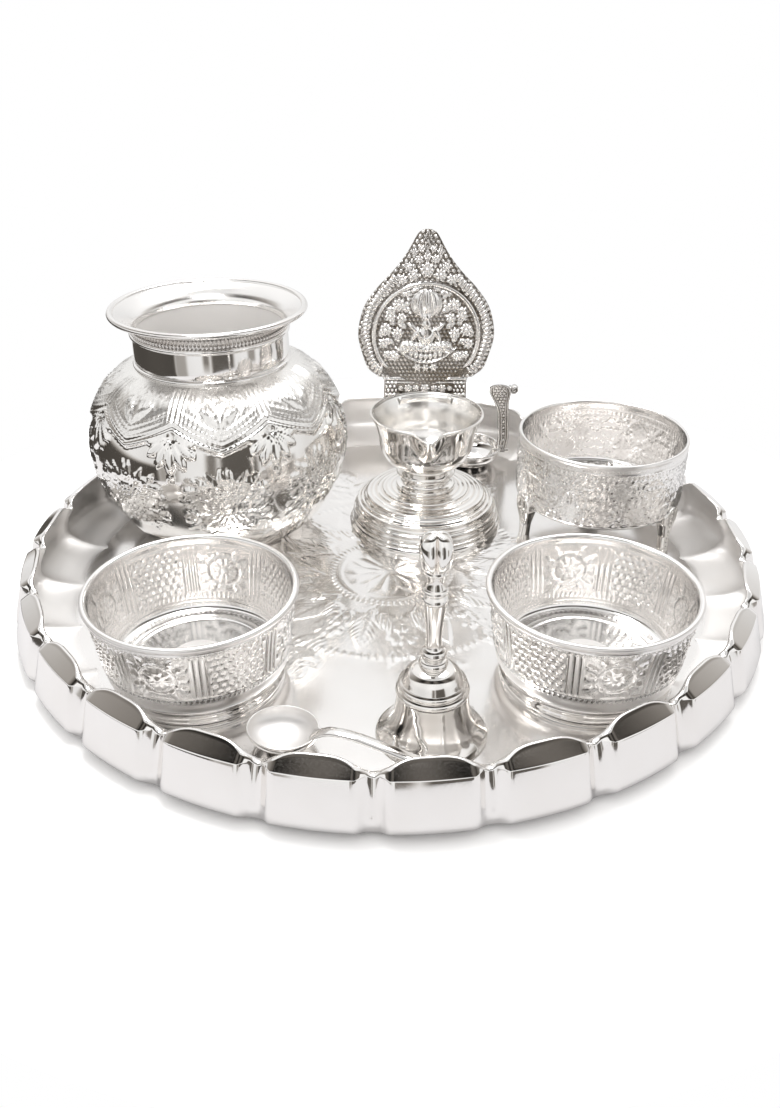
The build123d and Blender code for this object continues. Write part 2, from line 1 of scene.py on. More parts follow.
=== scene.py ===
import bpy
import numpy as np
from math import cos, pi, radians, sin, tau
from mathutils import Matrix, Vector


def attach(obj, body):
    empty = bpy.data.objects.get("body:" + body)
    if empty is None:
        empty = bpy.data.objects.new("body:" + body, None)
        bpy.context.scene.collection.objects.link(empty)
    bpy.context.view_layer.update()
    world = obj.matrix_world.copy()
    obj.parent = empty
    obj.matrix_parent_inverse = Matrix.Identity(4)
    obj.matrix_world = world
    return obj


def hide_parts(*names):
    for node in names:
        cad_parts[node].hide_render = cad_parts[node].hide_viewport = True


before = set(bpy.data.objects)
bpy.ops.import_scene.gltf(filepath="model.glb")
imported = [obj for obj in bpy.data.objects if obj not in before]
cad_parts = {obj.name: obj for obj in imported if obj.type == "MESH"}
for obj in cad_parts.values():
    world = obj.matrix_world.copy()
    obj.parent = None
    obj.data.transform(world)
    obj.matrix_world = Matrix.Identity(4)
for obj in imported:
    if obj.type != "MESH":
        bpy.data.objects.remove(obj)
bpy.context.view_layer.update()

# A puja thali in polished and chased silver. Shapes are worked out in millimetres, and a piece is
# scaled to metres when its mesh is made. Each vessel's heights start at the tray's floor.
MM = 0.001
TINY = 1e-6
TRAY_SHEET = 1.2
KALASH = (-69.2, 41.2)
LAMP = (14.9, 42.0)
LEFT_BOWL = (-63.7, -63.6)
RIGHT_BOWL = (65.3, -63.1)
FOOTED = (85.5, 34.2)
BELL = (12.8, -94.5)
SPOON = (-32.3, -100.0)
BURNER = (38.0, 100.0)
UP = np.array([0.0, 0.0, 1.0])

# Kinds of node that are used often
MATH = "ShaderNodeMath"
RANGE = "ShaderNodeMapRange"
MIX = "ShaderNodeMix"
NOISE = "ShaderNodeTexNoise"


# Small helpers

def linear(hex_colour):
    """An sRGB hex colour as linear red, green, blue and alpha."""
    channels = [int(hex_colour[i:i + 2], 16) / 255 for i in (1, 3, 5)]
    return tuple(c / 12.92 if c <= 0.04045 else ((c + 0.055) / 1.055) ** 2.4 for c in channels) + (1.0,)


def add(tree, kind, inputs=(), **settings):
    """Adds a node with its settings. Inputs go by order, or by name or number in a dict, and each is a
    value or the socket that feeds it. Gives the node's outputs."""
    node = tree.nodes.new(kind)
    for name, value in settings.items():
        setattr(node, name, value)
    for key, value in inputs.items() if isinstance(inputs, dict) else enumerate(inputs):
        if isinstance(value, bpy.types.NodeSocket):
            tree.links.new(value, node.inputs[key])
        else:
            node.inputs[key].default_value = value
    return node.outputs


def smooth_step(value, low, high):
    """0 under low and 1 over high, with a smooth rise between them."""
    share = np.clip((value - low) / (high - low), 0, 1)
    return share * share * (3 - 2 * share)


def smooth_line(points, spacing):
    """A smooth line through points, with points added about every spacing."""
    points = np.array(points, float)
    ends = np.vstack([2 * points[0] - points[1], points, 2 * points[-1] - points[-2]])
    runs = []
    for i in range(1, len(ends) - 2):
        a, b, c, d = ends[i - 1:i + 3]
        count = max(2, int(np.ceil(np.linalg.norm(c - b) / spacing)))
        t = np.linspace(0, 1, count, endpoint=False)[:, None]
        runs.append(b + (c - a) * t / 2 + (2 * a - 5 * b + 4 * c - d) * t ** 2 / 2
                    + (3 * b - a - 3 * c + d) * t ** 3 / 2)
    return np.vstack(runs + [points[-1:]])


CORNER_HOLD = 0.12


def section(start, *runs, spacing=0.8):
    """A half section from its start along smooth runs. Points close to each corner keep it crisp."""
    line = np.array([start], float)
    for run in runs:
        points = smooth_line([line[-1], *run], spacing)
        ahead, behind = points[1] - points[0], points[-2] - points[-1]
        ahead = ahead * CORNER_HOLD / max(np.linalg.norm(ahead), CORNER_HOLD * 2)
        behind = behind * CORNER_HOLD / max(np.linalg.norm(behind), CORNER_HOLD * 2)
        line = np.vstack([line, points[0] + ahead, points[1:-1], points[-1] + behind, points[-1]])
    return line


# A shape is its points in millimetres, its faces and the relief height at each point

INSIDE_TONE = 0.3
INSIDE_SHARE = 0.5


def lathe(line, place, columns, relief=None, loop=False):
    """Turns a half section about an upright axis. It runs with the metal on its left, so up the outside."""
    line = np.asarray(line, float)
    if loop:
        before, after = np.roll(line, 1, axis=0), np.roll(line, -1, axis=0)
    else:
        before, after = np.vstack([line[:1], line[:-1]]), np.vstack([line[1:], line[-1:]])
    run = after - before
    run /= np.maximum(np.hypot(run[:, 0], run[:, 1]), TINY)[:, None]
    normal = np.column_stack([run[:, 1], -run[:, 0]])
    angle = np.arange(columns) * tau / columns
    turn = np.repeat(angle[None], len(line), axis=0)
    radius = np.repeat(line[:, :1], columns, axis=1)
    height = np.repeat(line[:, 1:], columns, axis=1)
    lift = relief(turn, radius, height, normal[:, :1]) if relief else np.zeros_like(turn)
    # an inside shows less of the relief in its tone
    tone = np.where(normal[:, :1] < 0, INSIDE_TONE + INSIDE_SHARE * lift, lift)
    radius = radius + normal[:, :1] * lift
    height = height + normal[:, 1:] * lift
    index = np.zeros(turn.shape, int)
    points, lifts, count = [], [], 0
    for i in range(len(line)):
        if line[i, 0] < TINY:
            index[i] = count
            points.append(np.array([[place[0], place[1], TRAY_SHEET + line[i, 1]]]))
            lifts.append(np.zeros(1))
            count += 1
        else:
            index[i] = count + np.arange(columns)
            points.append(np.column_stack([place[0] + radius[i] * np.cos(angle),
                                           place[1] + radius[i] * np.sin(angle), TRAY_SHEET + height[i]]))
            lifts.append(tone[i])
            count += columns
    faces = []
    for i in range(len(line) if loop else len(line) - 1):
        low, high = index[i], index[(i + 1) % len(line)]
        low_next, high_next = np.roll(low, -1), np.roll(high, -1)
        if low[0] == low[1]:
            faces += np.column_stack([low, high_next, high]).tolist()
        elif high[0] == high[1]:
            faces += np.column_stack([low, low_next, high]).tolist()
        else:
            faces += np.column_stack([low, low_next, high_next, high]).tolist()
    return np.vstack(points), faces, np.concatenate(lifts)


def strip(heights, half, columns):
    """A grid across an upright strip: places from -1 to 1, offsets, heights and distances to the edge."""
    share, half = np.linspace(-1, 1, columns)[None], half[:, None]
    return share, half * share, np.repeat(heights[:, None], columns, axis=1), half * (1 - np.abs(share))


def grid_shell(front, back, lift):
    """A closed sheet from two grids of points that share their outline: front seen from outside."""
    rows, columns = front.shape[:2]
    points = np.vstack([front.reshape(-1, 3), back.reshape(-1, 3)])
    index = np.arange(rows * columns).reshape(rows, columns)
    faces = np.column_stack([index[:-1, :-1].ravel(), index[:-1, 1:].ravel(),
                             index[1:, 1:].ravel(), index[1:, :-1].ravel()])
    behind = faces[:, ::-1] + rows * columns
    rim = np.concatenate([index[0, :-1], index[:-1, -1], index[-1, :0:-1], index[:0:-1, 0]])
    rim_next = np.roll(rim, -1)
    sides = np.column_stack([rim, rim + rows * columns, rim_next + rows * columns, rim_next])
    return points, np.vstack([faces, behind, sides]).tolist(), np.concatenate([lift.ravel(), lift.ravel()])


def tube(path, half_widths, half_heights, across, sides=20):
    """A rounded bar along a path of points; across is its sideways direction."""
    along = np.gradient(path, axis=0)
    along /= np.linalg.norm(along, axis=1)[:, None]
    up = np.cross(along, across)
    up /= np.linalg.norm(up, axis=1)[:, None]
    angle = np.arange(sides) * tau / sides
    rings = (path[:, None]
             + across[None, None] * (half_widths[:, None] * np.cos(angle))[..., None]
             + up[:, None] * (half_heights[:, None] * np.sin(angle))[..., None])
    count = len(path)
    points = np.vstack([rings.reshape(-1, 3), path[:1], path[-1:]])
    index = np.arange(count * sides).reshape(count, sides)
    after = np.roll(index, -1, axis=1)
    faces = np.column_stack([index[:-1].ravel(), index[1:].ravel(),
                             after[1:].ravel(), after[:-1].ravel()]).tolist()
    faces += np.column_stack([np.full(sides, count * sides), index[0], after[0]]).tolist()
    faces += np.column_stack([np.full(sides, count * sides + 1), after[-1], index[-1]]).tolist()
    return points, faces, np.zeros(len(points))


def joined(*shapes):
    """Several shapes as one."""
    points, faces, lifts, count = [], [], [], 0
    for shape_points, shape_faces, shape_lift in shapes:
        points.append(shape_points)
        faces += [[i + count for i in face] for face in shape_faces]
        lifts.append(shape_lift)
        count += len(shape_points)
    return np.vstack(points), faces, np.concatenate(lifts)


def mark(mesh, label, values):
    """Keeps a number for each point of a mesh, for materials and trees to read."""
    mesh.attributes.new(label, "FLOAT", "POINT").data.foreach_set("value", values.astype(np.float32))


def mesh_of(name, shape, material):
    """A smooth mesh in metres from a shape, with its relief marked."""
    points, faces, lift = shape
    mesh = bpy.data.meshes.new(name)
    mesh.from_pydata((points * MM).tolist(), [], faces)
    mark(mesh, "relief", lift)
    mesh.polygons.foreach_set("use_smooth", np.ones(len(mesh.polygons), bool))
    mesh.materials.append(material)
    mesh.update()
    return mesh


def spots_of(mesh):
    """A mesh's points in millimetres."""
    spots = np.zeros(len(mesh.vertices) * 3)
    mesh.vertices.foreach_get("co", spots)
    return spots.reshape(-1, 3) / MM


def inside_of(mesh, place):
    """1 on a vessel's inside, where the surface faces its axis or lies level in it, and 0 outside."""
    normals = np.zeros(len(mesh.vertices) * 3)
    mesh.vertex_normals.foreach_get("vector", normals)
    normals = normals.reshape(-1, 3)
    away = spots_of(mesh)[:, :2] - np.array(place)
    away /= np.maximum(np.hypot(away[:, 0], away[:, 1]), TINY)[:, None]
    outward = (away * normals[:, :2]).sum(axis=1)
    return smooth_step(0.25 - outward, 0, 0.3) * (normals[:, 2] > -0.6)


def piece(name, mesh, body, slot, *nodes):
    """Puts a finished mesh in the scene on its body, in place of its CAD nodes."""
    thing = bpy.data.objects.new(name, mesh)
    bpy.context.scene.collection.objects.link(thing)
    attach(thing, body)
    if nodes:
        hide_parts(*nodes)


def shaped_piece(name, shape, material, body, slot, node, place=None, satin=0.0):
    """A piece from a shape. With a place, the inside of the vessel there is satin by that much."""
    mesh = mesh_of(name, shape, material)
    if place:
        mark(mesh, "satin", satin * inside_of(mesh, place))
    piece(name, mesh, body, slot, node)


def node_tree(name, numbers):
    """A Geometry Nodes tree with a geometry in and out, a material and named numbers."""
    tree = bpy.data.node_groups.new(name, "GeometryNodeTree")
    tree.interface.new_socket("Geometry", in_out="INPUT", socket_type="NodeSocketGeometry")
    tree.interface.new_socket("Material", in_out="INPUT", socket_type="NodeSocketMaterial")
    for label, value in numbers.items():
        kind = "NodeSocketInt" if isinstance(value, int) else "NodeSocketFloat"
        tree.interface.new_socket(label, in_out="INPUT", socket_type=kind).default_value = value
    tree.interface.new_socket("Geometry", in_out="OUTPUT", socket_type="NodeSocketGeometry")
    return tree, tree.nodes.new("NodeGroupInput").outputs


def finish_tree(tree, start, geometry):
    """Ends a tree: real geometry with its material."""
    real = add(tree, "GeometryNodeRealizeInstances", {"Geometry": geometry})[0]
    dressed = add(tree, "GeometryNodeSetMaterial", {"Geometry": real, "Material": start["Material"]})[0]
    add(tree, "NodeGroupOutput", {"Geometry": dressed})


def grown(name, base, tree, material, values):
    """Runs a tree on a base mesh and returns the result as a plain mesh."""
    maker = bpy.data.objects.new(name + "_maker", base)
    bpy.context.scene.collection.objects.link(maker)
    modifier = maker.modifiers.new("nodes", "NODES")
    modifier.node_group = tree
    for item in tree.interface.items_tree:
        if item.item_type == "SOCKET" and item.in_out == "INPUT":
            if item.name == "Material":
                modifier[item.identifier] = material
            elif item.name in values:
                modifier[item.identifier] = values[item.name]
    depsgraph = bpy.context.evaluated_depsgraph_get()
    mesh = bpy.data.meshes.new_from_object(maker.evaluated_get(depsgraph), depsgraph=depsgraph)
    mesh.name = name
    mesh.polygons.foreach_set("use_smooth", np.ones(len(mesh.polygons), bool))
    maker.modifiers.clear()
    bpy.data.objects.remove(maker)
    return mesh


# Silver finishes

STAIN_MM = 14
SATIN_ROUGHNESS = 0.4


def silver_finish(name, bright, recess, gloss, ripple_mm, ripple_depth_mm, frosting=0.0, grain_mm=0.5):
    """Polished silver plate over brass. gloss is the roughness from clean to handled. The ripple is the
    slow unevenness that spinning and buffing leave, which bends reflections; the grain is fine
    buffing haze. Hollows of the relief hold a little warm tarnish and are duller by the frosting.
    The satin attribute marks insides, which are never buffed as bright as the outside."""
    material = bpy.data.materials.new(name)
    material.use_nodes = True
    tree = material.node_tree
    shader = tree.nodes["Principled BSDF"]
    shader.inputs["Metallic"].default_value = 1.0
    place = add(tree, "ShaderNodeTexCoord")["Object"]
    relief = add(tree, "ShaderNodeAttribute", attribute_name="relief")["Fac"]
    satin = add(tree, "ShaderNodeAttribute", attribute_name="satin")["Fac"]
    grain, stain, ripple = (
        add(tree, NOISE, {"Vector": place, "Scale": 1 / (size * MM), "Detail": detail, "Roughness": rough})[0]
        for size, detail, rough in ((grain_mm, 3.0, 0.6), (STAIN_MM, 2.0, 0.5), (ripple_mm, 1.0, 0.4)))
    crest = add(tree, RANGE, (relief, -0.25, 0.35))[0]
    worn = add(tree, MATH, (stain, 0.5, crest), operation="MULTIPLY_ADD")[0]
    tone = add(tree, RANGE, (worn, 0.2, 0.75))[0]
    colour = add(tree, MIX, {0: tone, 6: linear(recess), 7: linear(bright)}, data_type="RGBA")[2]
    dull = add(tree, RANGE, (grain, 0.35, 0.75, *gloss))[0]
    soft = add(tree, MATH, (satin, SATIN_ROUGHNESS, dull), operation="MULTIPLY_ADD")[0]
    frost = add(tree, RANGE, (crest, 0.3, 0.9, frosting, 0.0))[0]
    soft = add(tree, MATH, (soft, frost), operation="ADD")[0]
    bump = add(tree, "ShaderNodeBump", {
        "Height": ripple, "Strength": 1.0, "Distance": ripple_depth_mm * MM})[0]
    tree.links.new(colour, shader.inputs["Base Color"])
    tree.links.new(soft, shader.inputs["Roughness"])
    tree.links.new(bump, shader.inputs["Normal"])
    return material


# Mirror-polished plate: clear reflections, bent a little by the spun sheet's unevenness
mirror_silver = silver_finish("mirror_silver_plate", "#F8F6F4", "#F0ECE8", gloss=(0.05, 0.11),
                              ripple_mm=16, ripple_depth_mm=0.10, grain_mm=0.6)
# Chased plate: bright crests over frosted, slightly warm hollows
chased_silver = silver_finish("chased_silver_plate", "#F8F6F4", "#E6DFDA", gloss=(0.09, 0.18),
                              ripple_mm=9, ripple_depth_mm=0.05, frosting=0.08)
# Frosted plate: finely matted between the crests, so that it stays pale
frosted_silver = silver_finish("frosted_silver_plate", "#FAF8F6", "#EAE2DE", gloss=(0.09, 0.18),
                               ripple_mm=9, ripple_depth_mm=0.05, frosting=0.26)
# Oxidised plate: the same embossing left darker in its hollows, so that the figures stand out
oxidised_silver = silver_finish("oxidised_silver_plate", "#F8F6F4", "#7A7268", gloss=(0.09, 0.18),
                                ripple_mm=9, ripple_depth_mm=0.05, frosting=0.12)
# Cast and turned silver: fuller gloss, fewer waves
cast_silver = silver_finish("cast_silver", "#F6F4F1", "#E4DCD4", gloss=(0.06, 0.13),
                            ripple_mm=12, ripple_depth_mm=0.04)
# Fasteners: plain bright steel, a little grey
bright_steel = silver_finish("bright_steel", "#C9C6C2", "#A9A49E", gloss=(0.18, 0.3),
                             ripple_mm=6, ripple_depth_mm=0.02, grain_mm=0.4)


# Relief patterns, in millimetres on the surface

def ridge(distance, half_width):
    """A rounded line, 1 along its middle."""
    return np.clip(1 - (distance / half_width) ** 2, 0, 1)


def dome(x, y, radius):
    """A round bead, 1 at its top."""
    return np.sqrt(np.clip(1 - (x * x + y * y) / radius ** 2, 0, 1))


def oval(x, y, half_x, half_y, lean=0.0):
    """A domed oval, leaning anticlockwise by lean."""
    u = (x * cos(lean) + y * sin(lean)) / half_x
    v = (y * cos(lean) - x * sin(lean)) / half_y
    return np.sqrt(np.clip(1 - u * u - v * v, 0, 1))


def leaf(x, y, lean, length, width, barbs=0, belly=0.75):
    """A raised leaf from the origin towards lean, with a sunk midrib and slanting barbs.
    A belly over 1 puts its widest part nearer the tip."""
    u = (x * cos(lean) + y * sin(lean)) / length
    v = (y * cos(lean) - x * sin(lean)) / width
    half = np.sin(pi * np.clip(u, 0, 1) ** belly)
    body = np.clip(1 - (v / np.maximum(half, 0.04)) ** 2, 0, 1) * ((u > 0) & (u < 1))
    body = np.sqrt(body) * (0.75 + 0.25 * np.minimum(1, np.abs(v) / 0.25))
    if barbs:
        body = body * (0.7 + 0.3 * np.cos(tau * barbs * (u - 0.35 * np.abs(v))))
    return body


def blossom(x, y, radius, petals):
    """A flower of round petals about a domed eye."""
    reach = np.hypot(x, y) / radius
    petal = np.abs(np.cos(petals * np.arctan2(y, x) / 2))
    body = np.clip(1 - (reach / (0.72 + 0.28 * petal)) ** 6, 0, 1) * (0.35 + 0.65 * reach)
    return np.maximum(body * (0.55 + 0.45 * petal), 0.9 * dome(x, y, 0.3 * radius))


def flowers(lift, rise, x, y, spots):
    """The higher of a relief and of flowers at spots of (across, up, size, petals)."""
    for across, up, size, petals in spots:
        lift = np.maximum(lift, rise * blossom(x - across, y - up, size, petals))
    return lift


def dots(x, y, pitch_x, pitch_y, radius):
    """Rows of round dots, every other row shifted by half a pitch."""
    row = np.floor(y / pitch_y)
    u = (x / pitch_x + 0.5 * (row % 2)) % 1 - 0.5
    v = (y / pitch_y) % 1 - 0.5
    return dome(u * pitch_x, v * pitch_y, radius)


def stipple(x, y, size):
    """An uneven pebbled ground."""
    a = np.sin(tau * x / size + 1.7 * np.sin(tau * y / (2.3 * size)))
    b = np.sin(tau * y / size + 1.7 * np.sin(tau * x / (2.7 * size) + 1.0))
    return 0.5 + 0.5 * a * b


def cells(turn, radius, count, first):
    """For cells round a vessel: the cell's number, the place in it from -0.5 to 0.5, and that in
    millimetres."""
    place = (turn - first) / (tau / count) + 0.5
    share = place % 1 - 0.5
    return np.floor(place).astype(int) % count, share, share * tau / count * radius


# Tray: one stamped sheet. The chased floor is drawn here, and the lobes of the wall grow by a rule

TRAY_RADIUS = 140.0
TRAY_FLOOR_RADIUS = 119.0
TRAY_FLAT_RADIUS = 117.5
TRAY_HEIGHT = 22.5
LOBES = 26
TRAY_COLUMNS = LOBES * 24
# the wall's outer crease, as a share of its height
CREASE = 0.858
FLOOR_SATIN = 0.22
WALL_SATIN = 1.0
# beads by count, radius, rise and size, and a spray's leaves by lean, start and length
FLOOR_BEADS = ((64, 23.2, 0.34, 0.9), (132, 56.5, 0.30, 0.85))
FLOOR_SPRAY = ((0.0, 4, 20), (0.6, 2, 15), (1.15, 1, 12), (0.35, 16, 13), (0.9, 12, 10))


def tray_floor_relief(x, y):
    """Chasing of the floor: a rosette, two dotted rings, feathered leaves and sprays between them."""
    reach, turn = np.hypot(x, y), np.arctan2(y, x)
    lift = 0.30 * blossom(x, y, 17, 12) + 0.22 * ridge(reach - 20, 0.9)
    for count, ring, rise, size in FLOOR_BEADS:
        lift += rise * dome(cells(turn, reach, count, 0)[2], reach - ring, size)
    across, out = cells(turn, reach, 10, 0.1)[2], reach - 26
    lift += 0.42 * leaf(out, across, 0.0, 27, 6.5, 9)
    lift += 0.34 * leaf(out - 4, np.abs(across) - 2, 0.75, 17, 4.0, 7)
    across = cells(turn, reach, 10, 0.1 + pi / 10)[2]
    lift += 0.36 * blossom(reach - 44, across, 6.2, 9)
    lift += 0.30 * leaf(reach - 50, np.abs(across), 0.5, 13, 2.6, 5)
    across, out = cells(turn, reach, 8, 0.25)[2], reach - 60
    for lean, start, size in FLOOR_SPRAY:
        lift += 0.30 * leaf(out - start, np.abs(across) - 0.4, lean, size, 0.2 * size, 6)
    lift += 0.34 * blossom(out - 27, across, 5.0, 10)
    return lift * smooth_step(118 - reach, 0, 6)


def tray_base():
    """The tray's grid of rings: floor, wall inside, edge, wall outside and underside. Each is its
    radius, height, skin (1 inside, 0 outside), rise up the wall (-1 off it), edge and satin."""
    floor = np.concatenate([[0.0], np.linspace(1.2, 92, 84), np.linspace(95, TRAY_FLAT_RADIUS, 6)])
    inner_rises = np.concatenate([np.linspace(0, 0.2, 9), np.linspace(0.24, 1, 19)])
    outer_rises = np.concatenate([np.linspace(1, CREASE + 0.01, 8), [CREASE, CREASE - 0.01],
                                  np.linspace(CREASE - 0.04, 0.14, 15), np.linspace(0.11, 0, 8)])
    rings = [(r, TRAY_SHEET, 0.0, -1.0, 0.0, FLOOR_SATIN) for r in floor]
    rings += [(TRAY_FLOOR_RADIUS, TRAY_SHEET, 1.0, rise, 0.0, WALL_SATIN) for rise in inner_rises]
    rings += [(TRAY_RADIUS, TRAY_HEIGHT, skin, 1.0, edge, 0.0)
              for skin, edge in ((0.8, 0.8), (0.5, 1.0), (0.2, 0.8))]
    rings += [(TRAY_FLOOR_RADIUS, 0.0, 0.0, rise, 0.0, 0.0) for rise in outer_rises]
    rings += [(r, 0.0, 0.0, -1.0, 0.0, 0.0) for r in (TRAY_FLAT_RADIUS, 80, 40, 0.0)]
    rings = np.array(rings)[::-1]
    points, faces, _ = lathe(rings[:, :2] - [0, TRAY_SHEET], (0, 0), TRAY_COLUMNS)
    kinds = np.concatenate([np.repeat(ring[None, 2:], 1 if ring[0] < TINY else TRAY_COLUMNS, axis=0)
                            for ring in rings])
    on_floor = (kinds[:, 1] < 0) & (points[:, 2] > TRAY_SHEET / 2)
    lift = np.where(on_floor, tray_floor_relief(points[:, 0], points[:, 1]), 0.0)
    points[:, 2] += lift
    mesh = mesh_of("tray_base", (points, faces, lift), mirror_silver)
    for number, label in enumerate(("skin", "rise", "edge", "satin")):
        mark(mesh, label, kinds[:, number])
    return mesh


# How far out the wall is at shares of its height, and how deep its grooves and ribs are there.
# Each curve also says at which of its points it turns a corner
WALL_CURVES = {
    "outside": ([(0.0, 0.40), (0.022, 0.66), (0.07, 0.83), (0.13, 0.915), (0.2, 0.95), (0.26, 0.945),
                 (CREASE, 0.765), (1.0, 0.524)], (5, 6, 7)),
    "inside": ([(0.0, 0.12), (0.05, 0.46), (0.14, 0.70), (0.26, 0.82), (0.42, 0.825), (0.6, 0.765),
                (0.82, 0.685), (0.88, 0.635), (1.0, 0.46)], ()),
    "groove": ([(0.0, 0.0), (0.06, 0.1), (0.16, 0.4), (0.3, 0.5), (0.6, 0.56), (0.8, 0.62), (1.0, 0.8)], ()),
    "rib": ([(0.0, 1.0), (0.3, 0.8), (0.6, 0.8), (0.8, 1.0), (1.0, 1.0)], ())}


def lobed_wall_tree():
    """Shapes the wall's rings into flat outer panels between soft grooves, with an inclined, arched rim.
    Inside, each panel is a smooth scoop and each groove a narrow rib that runs down to the floor."""
    tree, start = node_tree("lobed_wall", {
        "Lobes": LOBES, "First Notch": radians(-92), "Wall Height": TRAY_HEIGHT * MM,
        "Notch Depth": 5.2 * MM, "Crease": CREASE, "Floor Radius": TRAY_FLOOR_RADIUS * MM,
        "Wall Run": (TRAY_RADIUS - TRAY_FLOOR_RADIUS) * MM, "Groove": 5.0 * MM, "Rib": 5.5 * MM,
        "Swell": 0.5 * MM, "Sheet": TRAY_SHEET * MM, "Edge": 0.35 * MM})
    skin, rise, edge = (add(tree, "GeometryNodeInputNamedAttribute", (label,), data_type="FLOAT")[0]
                        for label in ("skin", "rise", "edge"))
    # place in the lobe: 0 at its middle, 1 at the notches
    x, y, _ = add(tree, "ShaderNodeSeparateXYZ", (add(tree, "GeometryNodeInputPosition")[0],))
    turn = add(tree, MATH, (y, x), operation="ARCTAN2")[0]
    aside = turn
    for operation, *others in (("SUBTRACT", start["First Notch"]), ("MULTIPLY", start["Lobes"]),
                               ("DIVIDE", tau), ("FRACT",), ("MULTIPLY_ADD", 2.0, -1.0), ("ABSOLUTE",)):
        aside = add(tree, MATH, (aside, *others), operation=operation)[0]
    # height: rings up to the crease share the wall below it, and the rest share the inclined rim
    base = add(tree, MATH, (skin, start["Sheet"]), operation="MULTIPLY")[0]
    dip = add(tree, MATH, (aside, 3.2), operation="POWER")[0]
    dip = add(tree, MATH, (start["Notch Depth"], dip), operation="MULTIPLY")[0]
    top = add(tree, MATH, (start["Wall Height"], dip), operation="SUBTRACT")[0]
    under_edge = add(tree, MATH, (top, start["Edge"]), operation="SUBTRACT")[0]
    knee = add(tree, MATH, (start["Wall Height"], start["Crease"]), operation="MULTIPLY")[0]
    knee = add(tree, MATH, (under_edge, knee), operation="MINIMUM")[0]
    height = add(tree, RANGE, (rise, 0.0, start["Crease"], base, knee))[0]
    height = add(tree, RANGE, (rise, start["Crease"], 1.0, height, top))[0]
    share = add(tree, RANGE, (height, base, start["Wall Height"]))[0]
    curves = {}
    for label, (points, corners) in WALL_CURVES.items():
        curves[label] = add(tree, "ShaderNodeFloatCurve", {"Value": share})[0]
        mapping = curves[label].node.mapping
        line = mapping.curves[0].points
        for number, point in enumerate(points):
            if number < 2:
                line[number].location = point
            else:
                line.new(*point)
        for number in corners:
            line[number].handle_type = "VECTOR"
        mapping.update()
    # the grooves cut into the outside at the panels' ends, and the ribs stand up inside
    panel_end = add(tree, RANGE, (aside, 0.70, 0.94), interpolation_type="SMOOTHSTEP")[0]
    cut = add(tree, MATH, (start["Groove"], panel_end), operation="MULTIPLY")[0]
    swell = add(tree, MATH, (aside, aside), operation="MULTIPLY")[0]
    cut = add(tree, MATH, (start["Swell"], swell, cut), operation="MULTIPLY_ADD")[0]
    cut = add(tree, MATH, (curves["groove"], cut), operation="MULTIPLY")[0]
    scoop = add(tree, MATH, (aside, 4.5), operation="POWER")[0]
    scoop = add(tree, MATH, (start["Rib"], scoop), operation="MULTIPLY")[0]
    scoop = add(tree, MATH, (curves["rib"], scoop), operation="MULTIPLY")[0]
    out = add(tree, RANGE, (skin, 0.0, 1.0, curves["outside"], curves["inside"]))[0]
    drawn_in = add(tree, RANGE, (skin, 0.0, 1.0, cut, scoop))[0]
    reach = add(tree, MATH, (out, start["Wall Run"], start["Floor Radius"]), operation="MULTIPLY_ADD")[0]
    reach = add(tree, MATH, (reach, drawn_in), operation="SUBTRACT")[0]
    height = add(tree, MATH, (edge, start["Edge"], height), operation="MULTIPLY_ADD")[0]
    spoke = add(tree, "ShaderNodeCombineXYZ", {0: reach, 2: height})[0]
    spot = add(tree, "ShaderNodeVectorRotate", {"Vector": spoke, "Angle": turn}, rotation_type="Z_AXIS")[0]
    on_wall = add(tree, "FunctionNodeCompare", (rise, 0.0), data_type="FLOAT", operation="GREATER_EQUAL")[0]
    moved = add(tree, "GeometryNodeSetPosition", {
        "Geometry": start["Geometry"], "Selection": on_wall, "Position": spot})[0]
    finish_tree(tree, start, moved)
    return tree


piece("thali_tray_chased", grown("thali_tray_chased", tray_base(), lobed_wall_tree(), mirror_silver, {}),
      "tray", "polished_silver", "thali_tray")


# Beads: rings of small balls round a vessel, one ring for each point of a base mesh

def bead_rings_tree():
    """Copies each point round the vessel's axis and puts a ball on every copy."""
    tree, start = node_tree("bead_rings", {
        "Count": 90, "Bead": 0.6 * MM, "Centre X": 0.0, "Centre Y": 0.0})
    copies = add(tree, "GeometryNodeDuplicateElements", {
        "Geometry": start["Geometry"], "Amount": start["Count"]}, domain="POINT")
    angle = add(tree, MATH, (copies["Duplicate Index"], start["Count"]), operation="DIVIDE")[0]
    angle = add(tree, MATH, (angle, tau), operation="MULTIPLY")[0]
    spot = add(tree, "ShaderNodeVectorRotate", {
        "Vector": add(tree, "GeometryNodeInputPosition")[0], "Angle": angle}, rotation_type="Z_AXIS")[0]
    centre = add(tree, "ShaderNodeCombineXYZ", (start["Centre X"], start["Centre Y"]))[0]
    placed = add(tree, "GeometryNodeSetPosition", {
        "Geometry": copies["Geometry"], "Position": spot, "Offset": centre})[0]
    ball = add(tree, "GeometryNodeMeshUVSphere", {"Segments": 8, "Rings": 5, "Radius": start["Bead"]})[0]
    beads = add(tree, "GeometryNodeInstanceOnPoints", {"Points": placed, "Instance": ball})[0]
    finish_tree(tree, start, beads)
    return tree


bead_rings = bead_rings_tree()


def bead_piece(name, place, radius, height, count, body):
    """A ring of beads about a vessel's axis."""
    base = bpy.data.meshes.new(name + "_rings")
    base.from_pydata([(radius * MM, 0, (TRAY_SHEET + height) * MM)], [], [])
    mesh = grown(name, base, bead_rings, chased_silver, {
        "Count": count, "Centre X": place[0] * MM, "Centre Y": place[1] * MM})
    piece(name, mesh, body, "embossed_silver")


# Kalash: embossed belly, polished neck band, flared mouth

PETALS = 8
FIRST_PETAL = radians(-79)
PETAL_TIP = 52.8
PETAL_RISE = 6.8
NOTCH_HEIGHT = 59.2
SPRAY_HEIGHT = 32.5
